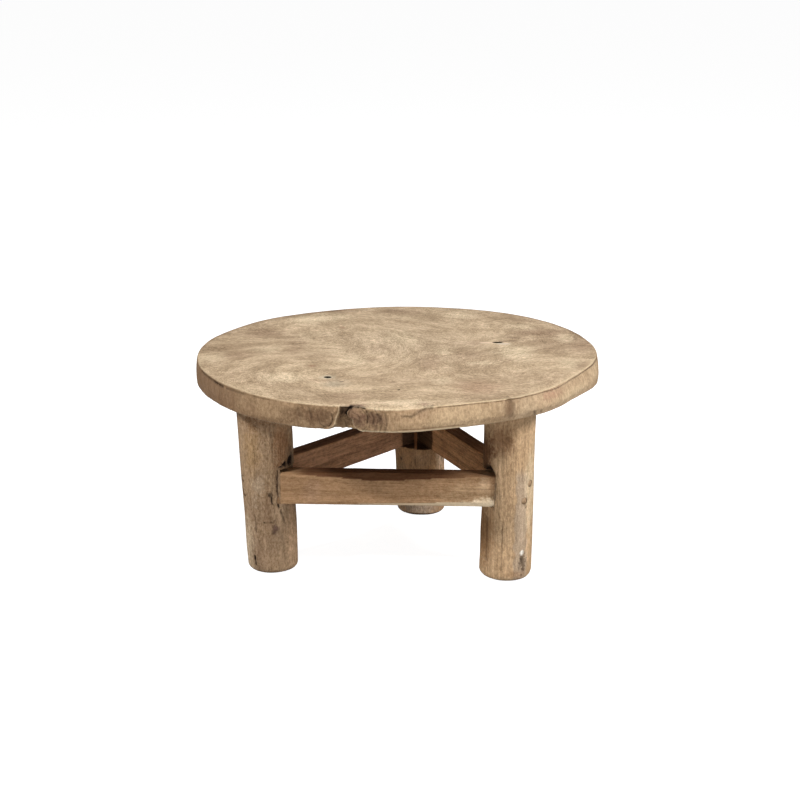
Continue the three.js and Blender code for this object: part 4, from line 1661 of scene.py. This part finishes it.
LEG_CRACKS = {
    Side.LEFT: (
        Crack(((-63, 108), (-64.5, 125), (-63.5, 145), (-62, 162)), 1.1, 2, 0.85),
        Crack(((-63, 106), (-63, 119)), 1.4, 3, 1.2),
        Crack(((-60, 165), (-50, 167), (-40, 172)), 1.5, 3, 0.8),
        Crack(((-99, 83), (-90, 81), (-82, 82), (-75, 84)), 1, 1.4, 0.8),
        Crack(((-58, 100), (-50, 80)), 1.4, 1.2, 0.5),
        Crack(((-129, 27), (-128.5, 14)), 1.7, 2.2, 1.4),
        Crack(((-120, 92), (-119, 66)), 0.9, 1, 0.6),
        Crack(((-58, 60), (-56, 20)), 2.6, 1, 0.2),
        Crack(((-112, 215), (-110, 150)), 0.9, 0.6, 0.2),
        Crack(((-72, 235), (-70, 190)), 1.2, 0.6, 0.2),
        Crack(((-79, 128), (-77.5, 112)), 1.4, 1.2, 0.9),
    ),
    Side.RIGHT: (
        Crack(((-126.5, 112), (-127.5, 135), (-126.5, 160)), 1.5, 1.8, 0.7),
        Crack(((-130, 161), (-143, 172)), 3, 3, 1.0),
        Crack(((-122, 150), (-123, 128)), 1.2, 1.2, 0.5),
        Crack(((-104, 90), (-103, 20)), 1, 0.8, 0.35),
        Crack(((-146, 95), (-143, 30)), 3, 0.8, 0.35),
    ),
    Side.BACK: (
        Crack(((-100, 95), (-99, 30)), 1, 0.8, 0.4),
        Crack(((-70, 80), (-71, 20)), 1.4, 0.8, 0.4),
    ),
}


@dataclass
class Rail:
    """One sawn rail with a waney upper edge."""

    plan: RailPlan
    tones: Tones
    marks: tuple[Mark, ...] = ()
    seed: int = 5
    sides: int = 88
    rows: int = 150
    # How far the painted shade at the back leg's joint reaches along the rail
    joint_shade_reach: float = 48 * MM
    streak: float = 0.42
    rough_deep: float = 0.35 * MM
    saw_pitch: float = 2.1 * MM
    saw_deep: float = 0.06 * MM

    def build(self, groups: Groups) -> Object:
        """Makes the rail.

        Args:
            groups: The shared shader groups.

        Returns:
            The dressed rail.
        """
        plan = self.plan
        long, matrix = plan.frame()
        rings = [Station(0.02, 0.0), Station(0.02 + HAIR, long, self.rows)]
        obj = round_blank(f"bar_{plan.name}", self.sides, rings)
        points = points_of(obj)
        share = np.clip(points[:, 2] / long, 0.0, 1.0)
        turn = (np.arctan2(points[:, 1], points[:, 0]) / math.tau) % 1.0
        section, wear_and_highlight, painted_top_shade = self.section(share, turn)
        inner = section[:, 0] > -plan.inner_step - 0.2 * plan.thick
        x = plan.end_gap + (long - 2 * plan.end_gap) * share
        grain = np.stack((x, section[:, 0], section[:, 1]), axis=1)
        rough = layered(grain / np.array((40, 2.2, 2.2)) / MM, self.seed, 3) * self.rough_deep
        drift = lattice_noise(grain / (18 * MM), self.seed + 3) * 3.0
        saw = np.sin(x / self.saw_pitch + drift) * self.saw_deep
        middle = np.array((-plan.inner_step - plan.thick / 2, 0.0))
        toward = middle - section
        toward /= np.maximum(np.linalg.norm(toward, axis=1, keepdims=True), 1e-9)
        section = section + toward * (np.abs(rough) + np.abs(saw))[:, None]
        local = np.stack((x, section[:, 0], section[:, 1], np.ones_like(x)), axis=1)
        put_points(obj, (local @ np.array(matrix).T)[:, :3])
        # Painted highlight on the lower bevel, and painted shade on the upper faces
        store(obj, "wear_and_highlight", wear_and_highlight)
        store(obj, "stain_and_shade", painted_top_shade)
        # Painted shade on the rail's inner faces near the back leg, where the joint lies in shade
        joint_shade = np.zeros_like(x)
        for end in rail_ends(plan):
            if end.leg is Side.BACK:
                off = np.abs(x - end.place) + 2 * MM * layered(grain / (6 * MM), self.seed + 9, 2)
                edge = smooth(self.joint_shade_reach - 3 * MM, self.joint_shade_reach + 3 * MM, off)
                joint_shade = np.maximum(joint_shade, 1.0 - edge)
        store(obj, "hollow", joint_shade * inner * 0.8)
        cut_away(obj, self.cutters(matrix))
        only(obj)
        set_mode("EDIT")
        bpy.ops.mesh.select_all(action="SELECT")
        bpy.ops.mesh.normals_make_consistent(inside=False)
        set_mode("OBJECT")
        finish_surface(obj, 38.0)
        heading = matrix.to_euler("XYZ").z
        material = LongWood(
            f"{plan.name}_wood", self.tones, turn=(0.0, 0.0, -heading), fibre=480.0, band=110.0,
            stretch=0.045, roughness=0.8, relief=0.6, mottle=0.26, streak=self.streak, marks=self.marks,
        ).build(groups)
        dress(obj, material, "rail_wood", plan.name)
        return obj

    def section(self, share: Array, turn: Array) -> tuple[Array, Array, Array]:
        """Points of the rail's outline.

        Args:
            share: Places along the rail, from 0 to 1.
            turn: Places round the outline, from 0 to 1.

        Returns:
            Rows of outward and upward coordinates, how much painted highlight each point gets and how much
            painted shade.
        """
        plan = self.plan
        fade = np.sin(np.pi * share) ** 2
        drift = np.exp(-(((share - plan.wane_place) / plan.wane_spread) ** 2))
        wave = 1.0 + 0.35 * layered(np.stack((share * 9, share * 0, share * 0), axis=1), self.seed, 2)
        top_wane = plan.edge_ease + plan.top_wane * fade * drift * wave
        foot_wane = plan.edge_ease + plan.foot_wane * share**2 * (1 - share**8)
        ease = np.full_like(share, plan.edge_ease)
        inner = np.full_like(share, -plan.inner_step)
        outer = inner - plan.thick
        foot = np.full_like(share, -plan.high / 2)
        top = -foot
        places = (
            (inner, foot + ease), (inner, top - ease), (inner - ease, top), (outer + top_wane, top),
            (outer, top - top_wane), (outer, foot + foot_wane), (outer + foot_wane / 2, foot),
            (inner - ease, foot),
        )
        corners = np.stack([np.stack(place, axis=1) for place in places], axis=1)
        looped = np.concatenate((corners, corners[:, :1]), axis=1)
        steps = np.linalg.norm(np.diff(looped, axis=1), axis=2)
        total = np.concatenate((np.zeros((len(share), 1)), np.cumsum(steps, axis=1)), axis=1)
        want = turn * total[:, -1]
        at = np.clip((total <= want[:, None]).sum(axis=1) - 1, 0, 7)
        rows = np.arange(len(share))
        part = (want - total[rows, at]) / np.maximum(steps[rows, at], 1e-9)
        points = looped[rows, at] + (looped[rows, at + 1] - looped[rows, at]) * part[:, None]
        # Painted highlight on the lower outer bevel, which faces down away from the lights
        pale = np.where(at == 5, 0.9, 0.0) * smooth(0.25, 0.7, share)
        # Painted shade on the upper faces, which lie under the slab
        painted_top_shade = np.where((at == 2) | (at == 3), 0.85, 0.0) * smooth(0.09, 0.19, share)
        painted_top_shade = painted_top_shade * (1.0 - 0.4 * smooth(0.72, 0.84, share))
        return points, pale, painted_top_shade

    def cutters(self, matrix: Matrix) -> list[Object]:
        """The peg holes in the rail's ends."""
        ends = rail_ends(self.plan)
        spans = [(end.on_peg(matrix, PEG_PAST), end.on_peg(matrix, -PEG_BITE - FIT)) for end in ends]
        return [rod_at("cutter_peg", PEG_HOLE, start, stop) for start, stop in spans]


@dataclass
class Pegs:
    """The six wooden pegs, cut flush just under the legs' flanks."""

    tones: Tones
    legs: dict[Side, Leg]
    sunk: float = 0.5 * MM
    rim_ease: float = 0.5 * MM
    sides: int = 40
    insets: tuple[float, ...] = (0.06, 0.2, 0.3, 0.3)

    def build(self, groups: Groups) -> list[Object]:
        """Makes the pegs, one at each rail end.

        Args:
            groups: The shared shader groups.

        Returns:
            The dressed pegs.
        """
        made = []
        for plan in RAIL_PLANS:
            _, matrix = plan.frame()
            heading = matrix.to_euler("XYZ").z
            material = LongWood(
                f"peg_{plan.name}_wood", self.tones, turn=(0.0, 0.0, -heading), fibre=900.0,
                band=300.0, stretch=0.1, roughness=0.75, relief=0.5,
            ).build(groups)
            for end in rail_ends(plan):
                made.append(self.peg(plan, end, matrix, material))
        return made

    def peg(self, plan: RailPlan, end: RailEnd, matrix: Matrix, material: Material) -> Object:
        """Makes one peg.

        Args:
            plan: The rail.
            end: The rail's end.
            matrix: The rail's frame.
            material: The peg's finish.

        Returns:
            The dressed peg.
        """
        near, far = end.on_peg(matrix, PEG_STAND), end.on_peg(matrix, -PEG_BITE)
        node = f"peg_{plan.name}_{end.leg.value}"
        obj = rod_at(f"dowel_{node}", PEG_ACROSS, near, far, self.sides)
        aim, half = (near - far).normalized(), PEG_ACROSS / 2
        only(obj)
        set_mode("EDIT")
        bpy.ops.mesh.select_mode(type="FACE")
        for inset in self.insets:
            self.select_cap(obj, aim)
            bpy.ops.mesh.inset(thickness=half * inset)
        set_mode("OBJECT")
        points = points_of(obj)
        cap = (points - np.array(near)) @ np.array(aim) > -MM
        points[cap] = self.flush(points[cap], np.array(aim), end, matrix)
        put_points(obj, points)
        # Painted shadow: a dark rim round the peg's end, strongest on its lower side, and the end darker
        # towards its bottom
        off = np.linalg.norm(np.cross(points - np.array(near), np.array(aim)), axis=1)
        down = (near.z - points[:, 2]) / half
        dark = smooth(0.86, 1.0, off / half) * (0.15 + 0.75 * smooth(0.0, 1.0, down))
        store(obj, "hollow", np.clip(dark, 0, 1))
        store(obj, "stain_and_shade", 0.6 * smooth(-0.6, 0.8, down))
        finish_surface(obj, 35.0)
        dress(obj, material, "peg_wood", node)
        return obj

    def select_cap(self, obj: Object, aim: Vector) -> None:
        """Selects the end face that looks along aim, in edit mode."""
        bpy.ops.mesh.select_all(action="DESELECT")
        set_mode("OBJECT")
        for face in obj.data.polygons:
            face.select = len(face.vertices) > 4 and face.normal.dot(aim) > 0.9
        set_mode("EDIT")

    def flush(self, cap: Array, aim: Array, end: RailEnd, matrix: Matrix) -> Array:
        """Moves the points of a peg's outer end along it until they lie just under the leg's skin.

        Args:
            cap: The end's points.
            aim: The direction out of the leg.
            end: The rail's end.
            matrix: The rail's frame.

        Returns:
            The moved points.
        """
        off = end.off_peg(in_frame(cap, matrix))
        under = self.sunk + self.rim_ease * smooth(0.8, 1.0, off / (PEG_ACROSS / 2))
        for _ in range(12):
            angle, reach = off_leg(end.leg, cap)
            cap = cap + aim * (self.legs[end.leg].skin(angle, cap[:, 2]) - under - reach)[:, None]
        return cap


@dataclass
class Studio:
    """The pale floor, the soft lights and the camera of the photograph."""

    camera_place: Triple = (0.0036, -2.605, 0.993)
    camera_pitch: float = math.radians(73.776)
    lens: float = 81.0
    floor_across: float = 60.0
    floor_grey: float = 0.42
    floor_glow: float = 0.93

    target = Vector((0, 0, 0.2))

    def camera(self) -> None:
        """Places the camera at the photograph's angle."""
        data = bpy.data.cameras.new("view")
        data.lens = self.lens
        data.sensor_width = 36.0
        camera = bpy.data.objects.new("view", data)
        camera.location = self.camera_place
        camera.rotation_euler = Euler((self.camera_pitch, 0, 0))
        bpy.context.scene.collection.objects.link(camera)
        bpy.context.scene.camera = camera

    def floor(self) -> None:
        """Lays the pale floor."""
        clear_selection()
        bpy.ops.mesh.primitive_plane_add(size=self.floor_across)
        floor = named("floor")
        material, graph, _ = blank_material("floor")
        seen = graph.add("ShaderNodeLightPath").outputs["Is Camera Ray"]
        graph.finish({
            "Base Color": (*[self.floor_grey] * 3, 1), "Roughness": 0.9, "Specular IOR Level": 0.0,
            "Emission Color": (1, 1, 1, 1), "Emission Strength": graph.times(seen, self.floor_glow),
        })
        floor.data.materials.append(material)

    def light(self, name: str, place: Triple, size: float, power: float) -> None:
        """Hangs one soft square light that faces the table.

        Args:
            name: The light's name.
            place: Where it hangs.
            size: Its side in metres.
            power: Its power in watts.
        """
        data = bpy.data.lights.new(name, "AREA")
        data.size = size
        data.energy = power
        lamp = bpy.data.objects.new(name, data)
        lamp.location = place
        aim = self.target - Vector(place)
        lamp.rotation_euler = aim.to_track_quat("-Z", "Y").to_euler()
        bpy.context.scene.collection.objects.link(lamp)

    def build(self) -> None:
        """Sets up the camera, the floor and the lights."""
        self.camera()
        self.floor()
        self.light("right_window", (2.2, -1.25, 2.0), 0.6, 84.0)
        self.light("left_window", (-2.0, -1.3, 1.9), 0.2, 54.0)
        self.light("front_screen", (0.1, -3.3, 0.55), 1.4, 30.0)
        self.light("ceiling", (0.1, -0.3, 2.4), 1.6, 14.0)
        self.light("back_window", (0.2, 1.3, 1.1), 0.8, 2.0)
        world = bpy.data.worlds.new("studio")
        world.use_nodes = True
        back = world.node_tree.nodes["Background"]
        back.inputs["Color"].default_value = (1, 1, 1, 1)
        back.inputs["Strength"].default_value = 0.1
        scene = bpy.context.scene
        scene.world = world
        scene.view_settings.view_transform = "Standard"
        scene.view_settings.look = "None"


# The legs' crack tones colour their pores and paint the shade in slots, cracks and hollows
BLACK_HOLLOW = (28, 16, 10)
LEFT_TONES = Tones((192, 166, 136), (164, 136, 107), (108, 80, 58), (152, 126, 101), BLACK_HOLLOW)
RIGHT_TONES = Tones((214, 186, 152), (194, 161, 125), (126, 95, 68), (184, 155, 122), BLACK_HOLLOW)
BACK_TONES = Tones((188, 154, 120), (176, 136, 98), (100, 72, 48), (164, 134, 104), (46, 24, 12))
# Each rail's deep tone paints the shade on its upper faces, and its pale tone the highlight on its lower
# bevel
RAIL_TONES = (
    Tones(pale=(240, 218, 184), middle=(165, 130, 97), deep=(70, 32, 6), grey=(156, 122, 90)),
    Tones(pale=(206, 170, 132), middle=(194, 146, 104), deep=(78, 46, 26), grey=(180, 134, 96)),
    Tones(pale=(200, 162, 126), middle=(188, 143, 110), deep=(70, 42, 24), grey=(172, 130, 100)),
)
# The peg's deep tone paints the shade on the lower part of its end
PEG_TONES = Tones(pale=(200, 172, 142), middle=(176, 147, 116), deep=(104, 78, 56), grey=(164, 137, 109))

RAIL_MARKS = (
    Mark((118, -128, 130), (80, 30, 30), (178, 147, 113), 0.85),
    # Painted highlights on the lower bevel at the rail's right end
    Mark((127, -125, 116), (30, 30, 17), (240, 216, 182), 1.0, 0.5),
    Mark((100, -125, 114), (36, 30, 11), (236, 212, 178), 0.8, 0.7),
    Mark((127, -127, 148), (14, 30, 20), (200, 168, 134), 0.7),
    Mark((-125, -115, 130), (20, 30, 30), (168, 134, 106), 0.6),
)
RIGHT_LEG_MARKS = (
    # Painted shade on the leg's left front under the slab
    Mark((152, -138, 217), (26, 50, 34), (112, 75, 48), 0.65),
    # Painted light on the leg's right side just under the slab
    Mark((185, -120, 246), (14, 50, 16), (198, 166, 130), 0.6),
    # Painted shade down the leg's left side
    Mark((126, -125, 194), (20, 50, 50), (92, 58, 34), 0.9, 0.7),
    # Painted shadow of the slab across the leg's top
    Mark((146, -140, 258), (52, 50, 34), (120, 86, 58), 0.5, 0.9),
    # Painted shadow crescent beside the peg's end
    Mark((186.2, -139, 115.5), (3, 20, 5), (92, 66, 44), 0.8, 0.7, 0.2),
    Mark((128, -124, 70), (24, 40, 75), (152, 112, 76), 0.8),
    Mark((192, -125, 140), (12, 40, 80), (212, 188, 154), 0.8, 0.8, 0.4),
    Mark((158.5, -149, 214), (10, 20, 13), (122, 92, 66), 0.5, 0.8, 0.6),
    Mark((172, -150, 12), (30, 30, 12), (152, 116, 84), 0.5, 0.9, 0.4),
    Mark((182, -143, 30), (6, 10, 18), (92, 76, 62), 0.7, 0.7, 1.0),
    Mark((181, -144, 46), (3.5, 10, 6), (236, 228, 216), 0.9, 0.5),
)
LEFT_LEG_MARKS = (
    Mark((-212, -115, 190), (18, 30, 60), (162, 130, 92), 0.7, 0.9, 0.4),
    Mark((-168, -115, 200), (22, 30, 60), (146, 107, 76), 0.75, 0.8, 0.4),
    # Painted shadow of the slab across the leg's top
    Mark((-190, -110, 258), (70, 60, 40), (106, 74, 48), 0.85, 0.9),
    # Painted light on the leg's lower right side, which the lamps leave in shade
    Mark((-154, -98, 55), (16, 40, 60), (204, 168, 134), 0.9),
    Mark((-190, -119, 100), (9, 30, 60), (142, 112, 86), 0.5, 0.9, 0.4),
    Mark((-220, -95, 40), (18, 40, 62), (210, 186, 156), 0.85, 0.9, 0.4),
    # Painted shadow at the leg's top left, under the slab's edge
    Mark((-212, -105, 232), (14, 40, 20), (100, 70, 44), 0.6, 0.9, 0.4),
    Mark((-162, -100, 232), (14, 40, 18), (184, 148, 114), 0.7, 0.9, 0.4),
    Mark((-206, -119, 138), (12, 30, 26), (188, 166, 140), 0.5, 0.8, 1.0),
    Mark((-174, -119, 105), (12, 30, 50), (196, 164, 132), 0.7, 0.9, 0.4),
    Mark((-199, -119, 152), (10, 20, 12), (178, 154, 128), 0.6, 0.8, 0.5),
    Mark((-180, -119, 72), (7, 20, 8), (98, 72, 70), 0.7, 0.7, 0.5),
    Mark((-205, -112, 30), (20, 30, 45), (132, 106, 84), 0.5, 0.9, 0.4),
)

BACK_LEG_MARKS = (
    # Painted shade on the strip between the two slots, under the slab
    Mark((28.5, 140, 131), (6, 30, 22), (104, 68, 42), 0.95, 0.3, 0.05),
    Mark((70, 155, 120), (15, 40, 75), (230, 196, 162), 1.0),
    Mark((38, 140, 22), (60, 50, 38), (166, 147, 128), 0.85),
    # Painted shade along the foot's bottom, where it meets the floor
    Mark((38, 137, 0), (60, 50, 6), (76, 58, 44), 0.8, 0.5, 0.1),
)


def main() -> None:
    """Builds the table piece by piece, then the studio."""
    logging.basicConfig(level=logging.INFO, format="%(message)s")
    groups = Groups()
    Slab().build(groups)
    legs = {
        Side.LEFT: Leg(Side.LEFT, LEFT_TONES, LEFT_LEG_MARKS, seed=41),
        Side.RIGHT: Leg(
            Side.RIGHT, RIGHT_TONES, RIGHT_LEG_MARKS, seed=67,
            mottle=0.3, streak=0.24, bark_span=(-76.0, -46.0),
        ),
        Side.BACK: Leg(
            Side.BACK, BACK_TONES, BACK_LEG_MARKS, seed=83, mottle=0.34, streak=0.2,
            foot_round=5 * MM, foot_wide=7 * MM, slot_inner=18.8 * MM, slot_dark=0.8,
        ),
    }
    for leg in legs.values():
        leg.build(groups)
    for number, plan in enumerate(RAIL_PLANS):
        rail = Rail(plan, RAIL_TONES[number], seed=101 + 7 * number, joint_shade_reach=(48, 50, 41)[number] * MM)
        if plan.start is Side.LEFT:
            rail.marks, rail.streak = RAIL_MARKS, 0.26
        rail.build(groups)
    Pegs(PEG_TONES, legs).build(groups)
    steel = DullSteel().build()
    for side in Side:
        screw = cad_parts[f"screw_{side.value}"]
        screw.data.materials.clear()
        screw.data.materials.append(steel)
    Studio().build()


if __name__ == "__main__":
    main()
